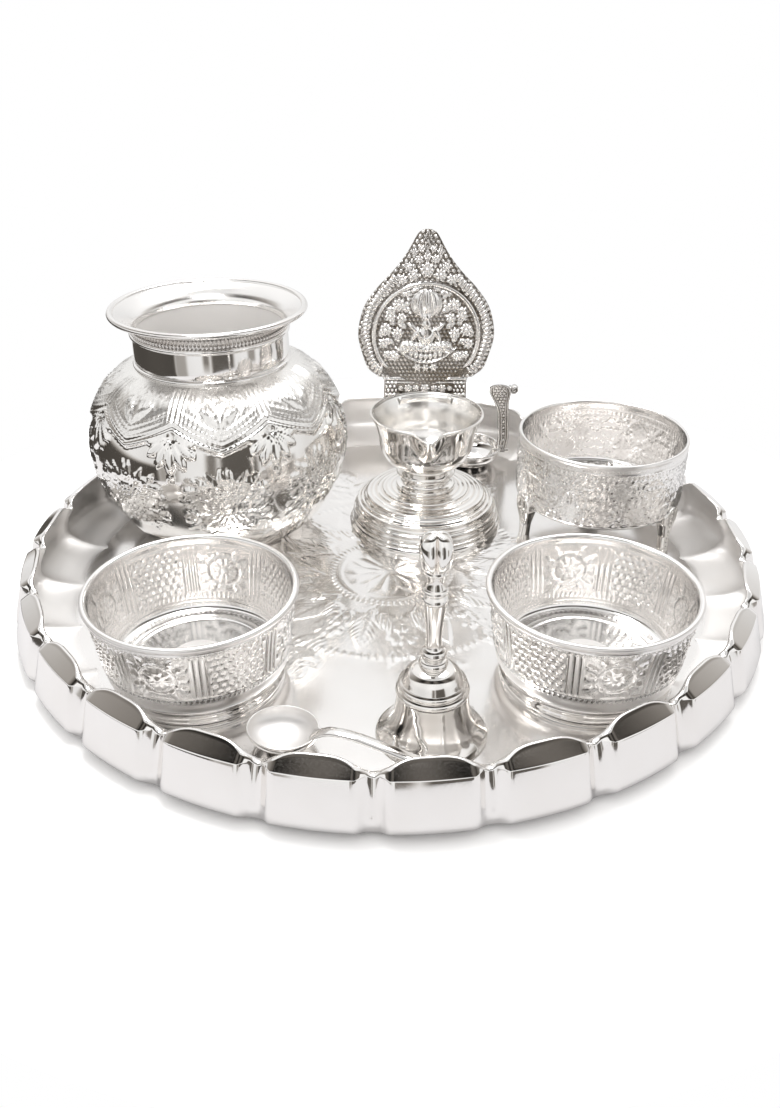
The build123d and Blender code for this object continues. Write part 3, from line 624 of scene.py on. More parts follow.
# leaves by lean, start and length, on a petal's upper field; then a spray's by lean, place and length
PETAL_LEAVES = ((0.5, 61.5, 7.5), (0.95, 62.5, 7.0), (1.3, 64.5, 6.0))
SPRAY_LEAVES = ((0.15, 6, -1, 10), (-0.4, 5.5, -5, 9), (0.55, 5.5, 4, 9), (-0.9, 3.5, -7, 8),
                (1.05, 3.5, 7, 8), (1.45, 0.6, 8, 8), (-0.1, 11, 4.5, 7), (0.9, 8.5, 7.5, 6.5),
                (-0.6, 10.5, -6.5, 6))
SPRAY_FLOWERS = ((11.0, 0.4, 3.6, 10), (8.4, 8.2, 3.0, 9), (13.6, 6.8, 2.4, 8), (8.6, -8.6, 2.8, 9),
                 (14.2, -4.8, 2.4, 8))
# the spray's middle: size, petals and rise of the flowers that are stacked in it
SPRAY_HEART = ((8.2, 22, 1.0), (5.6, 16, 1.3), (3.2, 10, 1.5))


def petal_edge(share):
    """The height of the petals' lower edge, from a tip at share 0 up to the notches beside it."""
    return PETAL_TIP + PETAL_RISE * np.abs(2 * share) ** 1.08


def kalash_relief(turn, radius, height, facing):
    """Eight pointed petals over the shoulder, a palmette under each notch and a spray under each tip."""
    _, f, x = cells(turn, radius, PETALS, FIRST_PETAL)
    d = (height - petal_edge(f)) * 0.94
    petal = smooth_step(d, -0.3, 0.3)
    lift = 0.8 * petal
    lift += 0.5 * ridge(d - 0.9, 0.7) - 0.25 * ridge(d - 2.0, 0.5) + 0.4 * ridge(d - 3.0, 0.6)
    along = np.abs(x) * 1.08
    near_tip = smooth_step(14 - np.abs(x), 0, 2)
    for number, row in enumerate((4.7, 6.3)):
        lift += 0.5 * near_tip * dome(((along + 0.8 * number) % 1.6) - 0.8, d - row, 0.68)
    # the petals' upper fields: a fine pebbled ground with curved leaves, between double border lines
    to_side = (0.5 - np.abs(f)) * tau / PETALS * radius
    upper = smooth_step(height, 61.5, 63) * smooth_step(71 - height, 0, 1)
    lift += upper * (0.55 * ridge(to_side - 1.0, 0.6) + 0.4 * ridge(to_side - 2.7, 0.5))
    field = smooth_step(d, 7.0, 7.6) * smooth_step(to_side, 3.2, 3.8) * smooth_step(70.5 - height, 0, 1.2)
    fill = 0.3 * stipple(x, height, 2.0) + 0.5 * leaf(height - 60.0, x, 0.0, 9.0, 2.2, 4)
    for side in (-1, 1):
        for lean, start, size in PETAL_LEAVES:
            fill = fill + 0.5 * leaf(height - start, side * x - 1.0, lean, size, 1.5, 4)
    lift += field * fill
    # palmette: seven lobes that fan down from the notch between two petals
    px, py = cells(turn, radius, PETALS, FIRST_PETAL + pi / PETALS)[2], height - NOTCH_HEIGHT
    below = 1 - petal
    fan = 0.9 * oval(px, py + 14.4, 1.0, 2.0)
    for number in range(-3, 4):
        lean, length = -pi / 2 + number * 0.44, 13.0 - 0.6 * abs(number)
        fan = np.maximum(fan, 1.6 * leaf(px, py, lean, length, 1.9, 0, 1.7))
    lift += below * fan
    # chrysanthemum spray under the petal's tip, dense leaves and small flowers about it
    ax, sy = np.abs(x), height - SPRAY_HEIGHT
    spray = 0.35 * stipple(x, sy, 2.0) * smooth_step(1 - (x / 17) ** 2 - (sy / 13) ** 2, 0, 0.2)
    for lean, across, up, size in SPRAY_LEAVES:
        spray = np.maximum(spray, 0.85 * leaf(ax - across, sy - up, lean, size, 0.2 * size, 5))
    spray = flowers(spray, 1.0, ax, sy, SPRAY_FLOWERS)
    for size, petals, rise in SPRAY_HEART:
        spray = np.where(np.hypot(x, sy) < 0.9 * size, 0, spray)
        spray = np.maximum(spray, rise * blossom(x, sy, size, petals))
    lift += below * spray
    return np.where(facing > 0.15, lift, 0.0) * smooth_step(height, 3, 9)


def frosted_petals(mesh):
    """1 on the petals over the shoulder, which are matted, and 0 on the polished belly under them."""
    x, y, height = (spots_of(mesh) - np.array([*KALASH, TRAY_SHEET])).T
    share = cells(np.arctan2(y, x), 1, PETALS, FIRST_PETAL)[1]
    return smooth_step(height - petal_edge(share), 3.4, 4.2)


kalash_line = np.vstack([
    section((0, 0), [(14, 0), (29.6, 0)], spacing=4),
    section((29.6, 0), [(40.3, 10.1), (46.7, 20.9), (50.2, 32.4), (51.0, 40.7), (49.7, 49.7), (45.9, 58.7),
                        (39.3, 66.2), (33.7, 69.8), (29.0, 72.0)], spacing=0.75)[1:],
    section((29, 72), [(28, 72)], [(32.9, 68.9), (38.5, 65.4), (45, 58.2), (48.7, 49.5), (50, 40.7),
                                   (49.2, 32.6), (45.7, 21.3), (39.5, 10.7), (29, 1.0)],
            [(14, 1.0), (0, 1.0)], spacing=3)[1:]])
kalash_mesh = mesh_of("kalash_body_chased", lathe(kalash_line, KALASH, columns=520, relief=kalash_relief),
                      cast_silver)
mark(kalash_mesh, "satin", np.maximum(inside_of(kalash_mesh, KALASH), 0.5 * frosted_petals(kalash_mesh)))
piece("kalash_body_chased", kalash_mesh, "kalash", "embossed_silver", "kalash_body")

band_line = section((28.3, 72), [(29.7, 72)], [(30.5, 72.5), (30.5, 73.4), (29.7, 73.9)],
                    [(29.9, 76), (29.85, 80), (29.7, 83.6)], [(30.5, 84.1), (30.5, 85.1), (29.7, 85.6)],
                    [(28.3, 85.6)], [(28.3, 78), (28.3, 72)])[:-1]
shaped_piece("kalash_neck_band_polished", lathe(band_line, KALASH, columns=192, loop=True), mirror_silver,
             "kalash", "polished_silver", "kalash_neck_band", KALASH, satin=1.6)

mouth_line = section((28.0, 85.6), [(29.0, 85.6)], [(29.6, 87.2), (31.6, 89.4), (34.6, 91.2), (36.5, 91.6)],
                     [(37.4, 91.9), (37.8, 92.6), (37.4, 93.5), (36.5, 93.9), (35.6, 93.5), (35.3, 92.7)],
                     [(33.6, 91.9), (30.6, 90.0), (28.6, 87.8), (28.0, 85.6)])[:-1]
shaped_piece("kalash_mouth_flared", lathe(mouth_line, KALASH, columns=192, loop=True), chased_silver,
             "kalash", "polished_silver", "kalash_mouth", KALASH, satin=0.2)
bead_piece("kalash_neck_beads", KALASH, 29.9, 86.4, 126, "kalash")


# Offering bowls: panelled wall, rolled lip, foot ring

PANELS = 8
PANEL_MIDDLE = 20.8
# a panel's leaves by lean, place and length
PANEL_LEAVES = ((0.5, 5.2, 2.6, 6), (1.1, 3.6, 4.6, 5), (0.1, 6.0, 0.2, 4))


def bowl_relief_from(first):
    """The relief of a bowl whose first panel is at an angle."""
    def relief(turn, radius, height, facing):
        """Eight panels between triple bars: flowers in ovals, and lattices of dots."""
        number, f, x = cells(turn, radius, PANELS, first)
        y = height - PANEL_MIDDLE
        ax, ay = np.abs(x), np.abs(y)
        band = smooth_step(height, 12.2, 12.9) * smooth_step(30.1 - height, 0, 0.7)
        to_bar = (0.5 - np.abs(f)) * tau / PANELS * radius
        bars = 0.5 * (ridge(to_bar, 0.6) + ridge(to_bar - 1.9, 0.6))
        flower = 0.75 * blossom(x, y, 4.4, 10) + 0.4 * ridge(np.hypot(x / 1.05, y) - 6.0, 0.55)
        for lean, across, up, size in PANEL_LEAVES:
            flower = flower + 0.55 * leaf(ax - across, ay - up, lean, size, 1.3, 3)
        flower = flower + 0.18 * stipple(x, y, 1.8)
        lattice = 0.5 * dots(x + 1.3, y + 1.2, 2.6, 2.4, 0.85)
        for slant in (x + y, x - y):
            lattice = lattice + 0.2 * ridge(slant % 5.2 - 2.6, 0.4)
        fill = np.where(number % 2 == 0, flower, lattice)
        lift = (bars + smooth_step(to_bar, 2.9, 3.3) * fill) * band
        lift += 0.45 * ridge(height - 30.6, 0.4) + 0.45 * ridge(height - 12.3, 0.45)
        lift += 0.45 * dome((turn * radius % 1.7) - 0.85, height - 11.2, 0.65)
        return np.where(facing > 0.3, lift, -0.6 * lift * (facing < -0.3))
    return relief


bowl_line = section(
    (0, 5.0), [(14, 5.0), (27.7, 5.0)],
    [(29.6, 6.3), (30.2, 8.0), (30.6, 11.8), (31.7, 21.5), (33.2, 31.0)],
    [(33.9, 31.7), (34.45, 32.3), (34.6, 32.8), (34.3, 33.5), (33.5, 33.8), (32.7, 33.5), (32.4, 32.8),
     (32.3, 31.4)],
    [(30.7, 21.5), (29.7, 12.5), (29.1, 8.6), (27.6, 6.6), (24.6, 6.0)],
    [(22.5, 6.5), (21.0, 6.1), (14.0, 6.0), (0, 6.0)], spacing=0.6)
ring_line = section((26.6, 0), [(28.4, 0)], [(28.6, 1.2), (27.9, 2.2), (27.7, 3.6), (28.2, 4.4), (27.7, 5.0)],
                    [(26.6, 5.0)], [(26.6, 2.5), (26.6, 0)])[:-1]
for name, place, first, body in (("left_bowl", LEFT_BOWL, radians(-100), "left_offering_bowl"),
                                 ("right_bowl", RIGHT_BOWL, radians(-86), "right_offering_bowl")):
    shaped_piece(name + "_panelled", lathe(bowl_line, place, columns=400, relief=bowl_relief_from(first)),
                 frosted_silver, body, "embossed_silver", name, place, satin=0.06)
    shaped_piece(name + "_foot_turned", lathe(ring_line, place, columns=160, loop=True), mirror_silver,
                 body, "polished_silver", name + "_foot_ring")
    bead_piece(name + "_beads", place, 33.15, 30.2, 124, body)


# Bowl on three leaf-shaped legs

FLOWERS = 16
FIRST_FLOWER = radians(-75)
# the leaves about each flower by lean, place and length; rows of flowers by height and shift
FOLIAGE = ((0.7, 1.6, 1.8, 5.6), (2.2, -1.8, 2.0, 5.2), (-0.8, 1.8, -1.8, 5.6), (-2.3, -1.6, -1.8, 5.2),
           (0.05, 3.0, 0.2, 4.2), (1.5, 0.2, 3.0, 3.6), (-1.6, -0.2, -3.0, 3.6))
FLOWER_ROWS = ((33.2, 0.0), (23.8, 0.5))
LEG_HEIGHT = 22
LEG_REACH = 34.0


def footed_relief(turn, radius, height, facing):
    """Dense foliage: two staggered rows of flowers, slanting leaves between them, and dotted borders."""
    arc = turn * radius
    band = smooth_step(height, 18.6, 19.4) * smooth_step(38.2 - height, 0, 0.8)
    lift = 0.3 * stipple(arc, height, 1.6)
    for middle, shift in FLOWER_ROWS:
        number, _, x = cells(turn, radius, FLOWERS, FIRST_FLOWER + shift * tau / FLOWERS)
        y = height - middle
        way = np.where(number % 2 == 0, 1.0, -1.0)
        for lean, across, up, size in FOLIAGE:
            lift = np.maximum(lift, 0.75 * leaf(x * way - across, y - up, lean, size, 1.25, 3))
        lift = np.where(np.hypot(x, y) < 2.9, 0, lift)
        lift = np.maximum(lift, 0.95 * blossom(x, y, 3.0, 8))
    lift = lift * band
    lift += 0.5 * dome((arc % 1.9) - 0.95, height - 39.4, 0.72) + 0.4 * ridge(height - 40.7, 0.4)
    lift += 0.4 * ridge(height - 38.2, 0.35) + 0.4 * ridge(height - 18.6, 0.4)
    neck = smooth_step(height, 41, 41.4) * smooth_step(43 - height, 0, 0.5)
    lift += 0.12 * stipple(arc, height, 2.2) * neck
    return np.where(facing > 0.4, lift, -0.6 * lift * (facing < -0.4))


footed_line = section(
    (0, 15.6), [(14, 15.6), (26.2, 15.6)], [(31.1, 16.6), (32.8, 19.4), (33.0, 30), (33.2, 43)],
    [(33.55, 43.6), (33.6, 44.1), (33.3, 44.7), (32.7, 44.8), (32.2, 44.5), (32.1, 43.6)],
    [(32.0, 30), (31.8, 19.8), (30.4, 17.4), (26, 16.6)], [(14, 16.6), (0, 16.6)], spacing=0.6)
shaped_piece("footed_bowl_chased", lathe(footed_line, FOOTED, columns=400, relief=footed_relief),
             frosted_silver, "three_legged_bowl", "embossed_silver", "footed_bowl", FOOTED, satin=0.06)


def leg_shape(angle):
    """A cast leaf: nested points round a chain of beads, thick at the back and bent out at the toe."""
    heights = np.linspace(0, LEG_HEIGHT, 64)
    half = np.interp(heights, [0, 1.5, 3.5, 9.2, 15.4, 18.9, 20.8, LEG_HEIGHT],
                     [2.5, 2.1, 1.65, 2.3, 4.7, 5.1, 3.6, 0.15])
    share, x, z, edge = strip(heights, half, 33)
    lift = 0.5 * ridge(edge - 0.5, 0.5) + 0.4 * ridge(edge - 1.8, 0.5)
    lift = lift + 0.6 * dome(x, (z % 1.9) - 0.95, 0.75) * (edge > 0.2)
    lift = lift * smooth_step(z, 0.6, 2.0)
    bend = np.sin(pi * np.clip(z / 15, 0, 1))
    out = LEG_REACH - 0.8 * bend - 0.25 * share ** 2 * half[:, None] / 4
    # higher than the bowl's underside, only a thin leaf is left in front of its wall
    depth = np.where(z > 15.8, 1.2, 3.6 - 0.9 * bend)
    front = np.stack([out + lift * 0.7, x, z], axis=-1)
    back = np.stack([out - depth, x, z], axis=-1)
    points, faces, tone = grid_shell(front, back, lift)
    ahead, aside, up = points.T
    turned = np.column_stack([FOOTED[0] + ahead * cos(angle) - aside * sin(angle),
                              FOOTED[1] + ahead * sin(angle) + aside * cos(angle), TRAY_SHEET + up])
    return turned, faces, tone


for side, angle in (("left", 199), ("right", 319), ("rear", 79)):
    name = "footed_bowl_leg_" + side
    shaped_piece(name + "_cast", leg_shape(radians(angle)), cast_silver,
                 "three_legged_bowl", "cast_silver", name)


# Oil lamp: stepped foot, turned stem, bowl with a spout, embossed back plate

PLATE_SETBACK = 24.6
PLATE_LOW = 39.98
PLATE_EDGE = [(17.6, 0), (17.6, 7), (17.6, 14.4), (20.2, 16.1), (24.2, 19.5), (26.6, 26.3), (28.0, 33.1),
              (27.2, 39.9), (24.8, 46.6), (19.7, 53.4), (13.3, 60.1), (8.1, 66.9), (4.2, 73.7), (2.3, 75.4),
              (0.3, 76)]
FIELD_RADIUS = 21.6
FIELD_MIDDLE = 33.1
CANOPY_MIDDLE = 46.4
# the seated figure's crown, head, body, arms and folded legs: place, half sizes, lean and rise
FIGURE = ((0, 41.0, 1.6, 1.9, 0, 1.9), (0, 38.2, 1.9, 2.1, 0, 2.0), (0, 33.2, 3.6, 3.8, 0, 1.6),
          (4.5, 33.8, 1.1, 3.2, 0.5, 1.5), (5.4, 36.6, 1.0, 2.6, -0.8, 1.4), (4.8, 28.6, 6.0, 2.0, 0.2, 1.8),
          (0, 27.6, 3.0, 1.5, 0, 1.6), (9.6, 27.2, 2.0, 1.6, 0, 1.5))
FIELD_FLOWERS = ((11.2, 46.0, 2.9, 8), (14.6, 41.4, 2.7, 8), (10.0, 40.6, 2.3, 7), (16.6, 35.6, 2.9, 9),
                 (11.8, 34.2, 2.6, 8), (17.6, 29.8, 2.4, 8), (13.4, 24.4, 2.4, 7), (8.2, 51.0, 2.2, 7),
                 (16.4, 25.0, 1.7, 6), (4.2, 53.0, 1.7, 6))
# leaves by lean, place and length
FIELD_LEAVES = ((0.9, 7.6, 43.0, 4.4), (0.2, 12.6, 43.6, 4.2), (0.5, 8.2, 36.6, 4.6), (1.2, 13.4, 37.6, 3.6),
                (0.3, 13.6, 30.4, 4.0), (1.0, 11.0, 30.6, 3.4), (1.4, 18.4, 32.6, 3.4))
CREST_FLOWERS = ((0, 60.4, 3.2, 9), (5.6, 58.4, 2.6, 8), (10.0, 56.4, 2.3, 7), (3.4, 64.4, 2.0, 7),
                 (0, 65.6, 1.9, 7), (7.6, 61.6, 1.9, 7), (5.2, 67.4, 1.5, 6), (2.4, 68.4, 1.5, 6))
NECK_ROSETTES = ((0, 10.2, 2.2, 7), (3.9, 10.2, 1.6, 7), (7.2, 10.2, 2.0, 7), (10.4, 10.2, 1.3, 7))
# mouldings across the neck by height, half width and rise
NECK_MOULDINGS = ((14.6, 0.8, 1.1), (12.9, 0.4, 0.8), (7.4, 0.5, 0.9), (5.6, 0.4, 0.7))


def foot_rings(turn, radius, height, facing):
    """Fine turned rings down the foot."""
    way = height - 0.8 * radius
    line = 0.13 * np.cos(tau * way / 2.3) + 0.07 * np.cos(tau * way / 3.7)
    turned = smooth_step(height, 2.2, 3.0) * smooth_step(radius, 13.5, 14.5)
    return np.where(facing > 0.05, line, 0.0) * turned


foot_line = section(
    (28, 0), [(32, 0)], [(32.0, 1.4), (31.4, 2.2)], [(30.8, 2.7), (30.9, 3.9)],
    [(30.4, 4.5), (30.2, 6.4), (30.0, 7.8)], [(29.0, 8.9), (28.7, 10.0), (28.3, 11.3)],
    [(26.4, 12.4), (25.3, 13.2), (24.6, 14.4)], [(21.5, 15.1), (18.4, 15.9), (17.6, 16.4)],
    [(15.0, 16.7), (12.8, 17.0)], [(2.3, 17.0)], [(2.3, 15.0)], [(10.4, 15.0)], [(28, 0)], spacing=0.3)[:-1]
shaped_piece("lamp_foot_turned", lathe(foot_line, LAMP, columns=192, relief=foot_rings, loop=True),
             cast_silver, "oil_lamp", "cast_silver", "lamp_foot")
stem_line = section(
    (2.3, 17.0), [(12.0, 17.0)], [(12.4, 17.8), (12.0, 18.6)], [(10.4, 19.2), (9.7, 20.6), (10.2, 22.2)],
    [(11.7, 22.9), (12.2, 23.8), (11.6, 24.7)], [(10.7, 25.7)], [(2.3, 25.7)], [(2.3, 20), (2.3, 17.0)],
    spacing=0.5)[:-1]
shaped_piece("lamp_stem_turned", lathe(stem_line, LAMP, columns=144, loop=True),
             cast_silver, "oil_lamp", "cast_silver", "lamp_stem")


def lamp_bowl_shape():
    """The oil bowl, its rim drawn out at the front into a spout for the wick."""
    line = section(
        (0, 28.8), [(2.0, 28.8)], [(2.0, 27.2), (2.0, 25.7)], [(10.6, 25.7)],
        [(15.8, 29.6), (18.6, 34), (19.6, 39), (20.6, 43.6), (22.2, 48.2)],
        [(22.8, 48.7), (23.0, 49.2), (22.7, 49.7), (22.1, 49.8), (21.6, 49.5), (21.2, 48.9)],
        [(19.5, 43.8), (18.5, 39.2), (17.5, 34.4), (14.8, 30.4), (10.2, 28.2), (5.0, 30.0)],
        [(3.4, 30.3), (0, 30.4)], spacing=0.6)
    points, faces, lift = lathe(line, LAMP, columns=240)
    x, y, z = (points - np.array([*LAMP, TRAY_SHEET])).T
    reach, turn = np.hypot(x, y), np.arctan2(y, x)
    off = np.abs((turn + pi / 2 + pi) % tau - pi)
    pull = np.exp(-(off / 0.17) ** 2) * smooth_step(z, 35, 49) * smooth_step(reach, 12, 19)
    reach = reach + 6.6 * pull
    points[:, 0], points[:, 1] = LAMP[0] + reach * np.cos(turn), LAMP[1] + reach * np.sin(turn)
    points[:, 2] -= 0.9 * pull
    return points, faces, lift


def lamp_lug_shape():
    """The block behind the bowl that the plate is riveted to."""
    x = np.linspace(-11, 11, 23)
    z = np.linspace(40, 48.6, 9)
    bowl_wall = np.sqrt(20.2 ** 2 - x ** 2)
    back, front = (np.stack(np.broadcast_arrays(LAMP[0] - x, LAMP[1] + y, TRAY_SHEET + z[:, None]), axis=-1)
                   for y in (PLATE_SETBACK, bowl_wall))
    return grid_shell(back, front, np.zeros(back.shape[:2]))


shaped_piece("lamp_bowl_spouted", joined(lamp_bowl_shape(), lamp_lug_shape()), cast_silver,
             "oil_lamp", "cast_silver", "lamp_bowl", LAMP, satin=0.34)


def plate_figure(x, z):
    """Relief inside the plate's round field: a seated figure under a ribbed lotus canopy, and flowers."""
    ax, cz = np.abs(x), z - CANOPY_MIDDLE
    # canopy of lotus ribs with a drop in its middle and a chain of beads about it
    half = 6.4 * np.sqrt(np.clip(1 - (cz / 6.2) ** 2, 0.03, 1))
    figure = 1.7 * np.sqrt(oval(x, cz, 6.4, 6.0)) * (0.35 + 0.65 * np.abs(np.cos(3.5 * pi * x / (2 * half))))
    figure = np.maximum(figure, 2.1 * oval(x, cz + 1.0, 0.9, 3.2))
    ring = np.arctan2(cz, x) * 7.6
    figure = np.maximum(figure, 1.2 * dome((ring % 1.9) - 0.95, np.hypot(x, cz) - 7.6, 0.85) * (cz > -4))
    # the seated figure and its garland
    for across, up, wide, tall, lean, rise in FIGURE:
        figure = np.maximum(figure, rise * np.sqrt(oval(ax - across, z - up, wide, tall, lean)))
    garland = ridge(np.hypot(x / 0.9, z - 35.6) - 3.4, 0.5) * (z < 35.6)
    figure = figure + 0.5 * garland + 0.45 * dots(x, z, 1.9, 1.9, 0.7) * (z < 30.5) * (z > 26.5) * (ax < 10)
    # lotus seat, the crescent under it and three rosettes
    for k in range(-5, 6):
        figure = np.maximum(figure, 1.3 * oval(x - 2.0 * k, z - 24.2 - 0.045 * (2.0 * k) ** 2, 0.95, 1.5))
    figure = np.maximum(figure, 1.3 * ridge(z - 21.9 - 0.04 * x * x, 0.7) * (ax < 12.5))
    under = 1.2 * blossom(ax - 3.4, z - 19.6, 1.7, 6) + 1.1 * blossom(x, z - 19.5, 1.6, 6)
    figure = np.maximum(figure, under)
    # flowers, leaves and dots that fill the field
    figure = flowers(figure, 1.6, ax, z, FIELD_FLOWERS)
    for lean, across, up, size in FIELD_LEAVES:
        figure = np.maximum(figure, 1.3 * leaf(ax - across, z - up, lean, size, 1.2, 3))
    return figure + 0.4 * dots(x, z, 1.7, 1.7, 0.6) * (figure < 0.25)


def plate_relief(x, z, edge):
    """Embossing of the plate: a round field in a moulding, flowers over the crest and rosettes across
    the neck. Gives the height and, for the tarnish, the height over the ground about it."""
    ax = np.abs(x)
    away = np.hypot(x, z - FIELD_MIDDLE) - FIELD_RADIUS
    above = smooth_step(z, 15.2, 16.0)
    moulding = 1.3 * np.sqrt(ridge(away, 1.1)) * smooth_step(z, 20, 21.5)
    lift = above * (0.6 * smooth_step(away, 1.2, 1.8) + moulding)
    lift = np.maximum(lift, 1.1 * ridge(z - 17.4 - 0.0105 * x * x, 0.8) * (ax < 19))
    lift = np.maximum(lift, 0.35 * ridge(edge - 0.5, 0.5))
    # neck: mouldings, a band of rosettes and a dotted strip at each side
    for height, half, rise in NECK_MOULDINGS:
        lift = np.maximum(lift, rise * ridge(z - height, half) * (edge > 0.3))
    lift = flowers(lift, 1.1, ax, z, NECK_ROSETTES)
    lift = np.maximum(lift, 0.9 * dots(ax - 13.9, z, 1.7, 1.7, 0.75) * (ax > 12) * (z < 13.6) * (edge > 0.8))
    lift = np.where(away < -0.9, plate_figure(x, z) * smooth_step(-away, 0.9, 1.5), lift)
    # crest: flowers that close up to a veined bud at the tip
    for across, up, size, petals in CREST_FLOWERS:
        flower = blossom(ax - across, z - up, size, petals)
        lift = np.where((above > 0) & (flower > 0.02), np.maximum(lift, 0.55 + 1.6 * flower), lift)
    veins = 0.65 + 0.35 * np.cos(tau * (ax + 0.5 * z) / 1.5)
    lift = np.maximum(lift, 1.5 * np.sqrt(oval(x, z - 71.6, 2.6, 3.6)) * veins)
    border = above * smooth_step(away, 1.0, 1.6)
    lift = lift + (0.3 * stipple(x, z, 1.5) + 0.6 * dots(x, z, 2.1, 1.9, 0.75)) * border * (lift < 0.75)
    return lift, lift - 0.7 * border


def plate_shape():
    """The plate: a pressed sheet whose back follows the embossing more softly than its front."""
    line = smooth_line(PLATE_EDGE, 0.4)
    heights = np.linspace(0, 75.9, 236)
    half = np.interp(heights, line[:, 1], line[:, 0])
    slope = np.gradient(half, heights)
    _, x, z, edge = strip(heights, half, 171)
    edge = edge / np.sqrt(1 + slope[:, None] ** 2)
    lift, tone = plate_relief(x, z, edge)
    thick = 1.4 * smooth_step(edge, -0.2, 0.7)
    front, back = (np.stack([LAMP[0] + x, LAMP[1] + PLATE_SETBACK + y, TRAY_SHEET + PLATE_LOW + z], axis=-1)
                   for y in (-lift * (edge > 0) * 0.95, thick - 0.55 * lift))
    return grid_shell(front, back, tone * 0.6 - 0.3)


shaped_piece("lamp_back_plate_embossed", plate_shape(), oxidised_silver,
             "oil_lamp", "embossed_silver", "lamp_back_plate")


# Rope border: leaning oval beads along a path

def rope_border_tree():
    """Puts oval beads along the edges of a base mesh, each leaning from the way it runs."""
    tree, start = node_tree("rope_border", {
        "Count": 70, "Length": 2.0 * MM, "Width": 0.85 * MM, "Lean": 0.6})
    path = add(tree, "GeometryNodeMeshToCurve", {"Mesh": start["Geometry"]})[0]
    spots = add(tree, "GeometryNodeCurveToPoints", {"Curve": path, "Count": start["Count"]}, mode="COUNT")
    ball = add(tree, "GeometryNodeMeshUVSphere", {"Segments": 8, "Rings": 6, "Radius": 1.0})[0]
    size = add(tree, "ShaderNodeCombineXYZ", (start["Length"], start["Width"], start["Width"]))[0]
    turn = add(tree, "FunctionNodeAlignRotationToVector", {"Vector": spots["Tangent"]}, axis="X")[0]
    lean = add(tree, "ShaderNodeCombineXYZ", {1: start["Lean"]})[0]
    leaned = add(tree, "FunctionNodeRotateRotation", {"Rotation": turn, "Rotate By": lean},
                 rotation_space="GLOBAL")[0]
    beads = add(tree, "GeometryNodeInstanceOnPoints", {
        "Points": spots["Points"], "Instance": ball, "Rotation": leaned, "Scale": size})[0]
    finish_tree(tree, start, beads)
    return tree


def plate_border_path(inset, depth):
    """The plate's two edges, drawn in, from its shoulders up to its crest."""
    line = smooth_line(PLATE_EDGE, 0.5)
    run = np.gradient(line, axis=0)
    run /= np.hypot(run[:, 0], run[:, 1])[:, None]
    drawn = np.column_stack([line[:, 0] - inset * run[:, 1], line[:, 1] + inset * run[:, 0]])
    drawn = drawn[(drawn[:, 1] > 18.6) & (drawn[:, 1] < 57.5) & (drawn[:, 0] > 0.4)]
    right = [(LAMP[0] + x, LAMP[1] + PLATE_SETBACK - depth, TRAY_SHEET + PLATE_LOW + z) for x, z in drawn]
    left = [(2 * LAMP[0] - x, y, z) for x, y, z in right]
    count = len(right)
    edges = [(first + i, first + i + 1) for first in (0, count) for i in range(count - 1)]
    base = bpy.data.meshes.new("plate_border_path")
    base.from_pydata((np.array(right + left) * MM).tolist(), edges, [])
    return base


border_mesh = grown("lamp_plate_border", plate_border_path(2.8, 0.9), rope_border_tree(), oxidised_silver,
                    {"Count": 26, "Length": 2.3 * MM, "Width": 0.95 * MM, "Lean": 1.25})
piece("lamp_plate_border", border_mesh, "oil_lamp", "embossed_silver")


# Hand bell

dome_line = section(
    (1.8, 24.8), [(1.8, 26.0)], [(4.2, 26.0)], [(6.4, 25.2), (8.2, 23.4), (9.4, 21.0)],
    [(10.2, 20.4), (10.5, 19.6), (10.2, 18.8)], [(10.9, 18.2), (11.2, 17.4), (10.9, 16.6)],
    [(11.2, 12.5), (12.0, 8.2), (13.6, 4.2), (16.2, 1.2), (17.3, 0.4), (17.2, 0.0)], [(16.2, 0.0)],
    [(14.9, 0.9), (12.4, 4.2), (10.8, 8.2), (10.0, 12.5), (9.4, 17.6), (8.2, 21.8), (5.6, 24.2), (1.8, 24.8)],
    spacing=0.5)[:-1][::-1]
shaped_piece("bell_dome_turned", lathe(dome_line, BELL, columns=160, loop=True), cast_silver,
             "bell", "cast_silver", "bell_dome")


def handle_relief(turn, radius, height, facing):
    """Four petals close round the bud at the top of the handle."""
    share = cells(turn, radius, 4, radians(-45))[1]
    bud = smooth_step(height, 59.5, 61) * smooth_step(71.5 - height, 0, 2)
    return bud * (0.5 - 1.1 * np.abs(2 * share) ** 3)


handle_line = section(
    (0, 23.2), [(1.5, 23.2)], [(1.5, 26.0)], [(4.1, 26.0)], [(4.4, 27.2), (3.9, 28.2), (3.1, 28.7)],
    [(3.7, 29.6), (4.0, 30.8), (3.6, 31.9)], [(2.5, 33.4), (2.45, 37.5), (3.1, 44.0), (3.6, 48.6)],
    [(3.85, 49.6), (3.5, 50.4)], [(2.9, 51.2)], [(3.7, 51.8), (3.8, 52.8), (3.2, 53.6)],
    [(2.7, 55.6), (2.9, 58.0)], [(3.7, 58.6), (3.6, 59.6)],
    [(4.3, 61.6), (4.75, 64.4), (4.5, 67.4), (3.2, 69.6), (1.6, 70.8), (0, 71.0)], spacing=0.45)
shaped_piece("bell_handle_turned", lathe(handle_line, BELL, columns=128, relief=handle_relief), cast_silver,
             "bell", "cast_silver", "bell_handle")


# Spoon

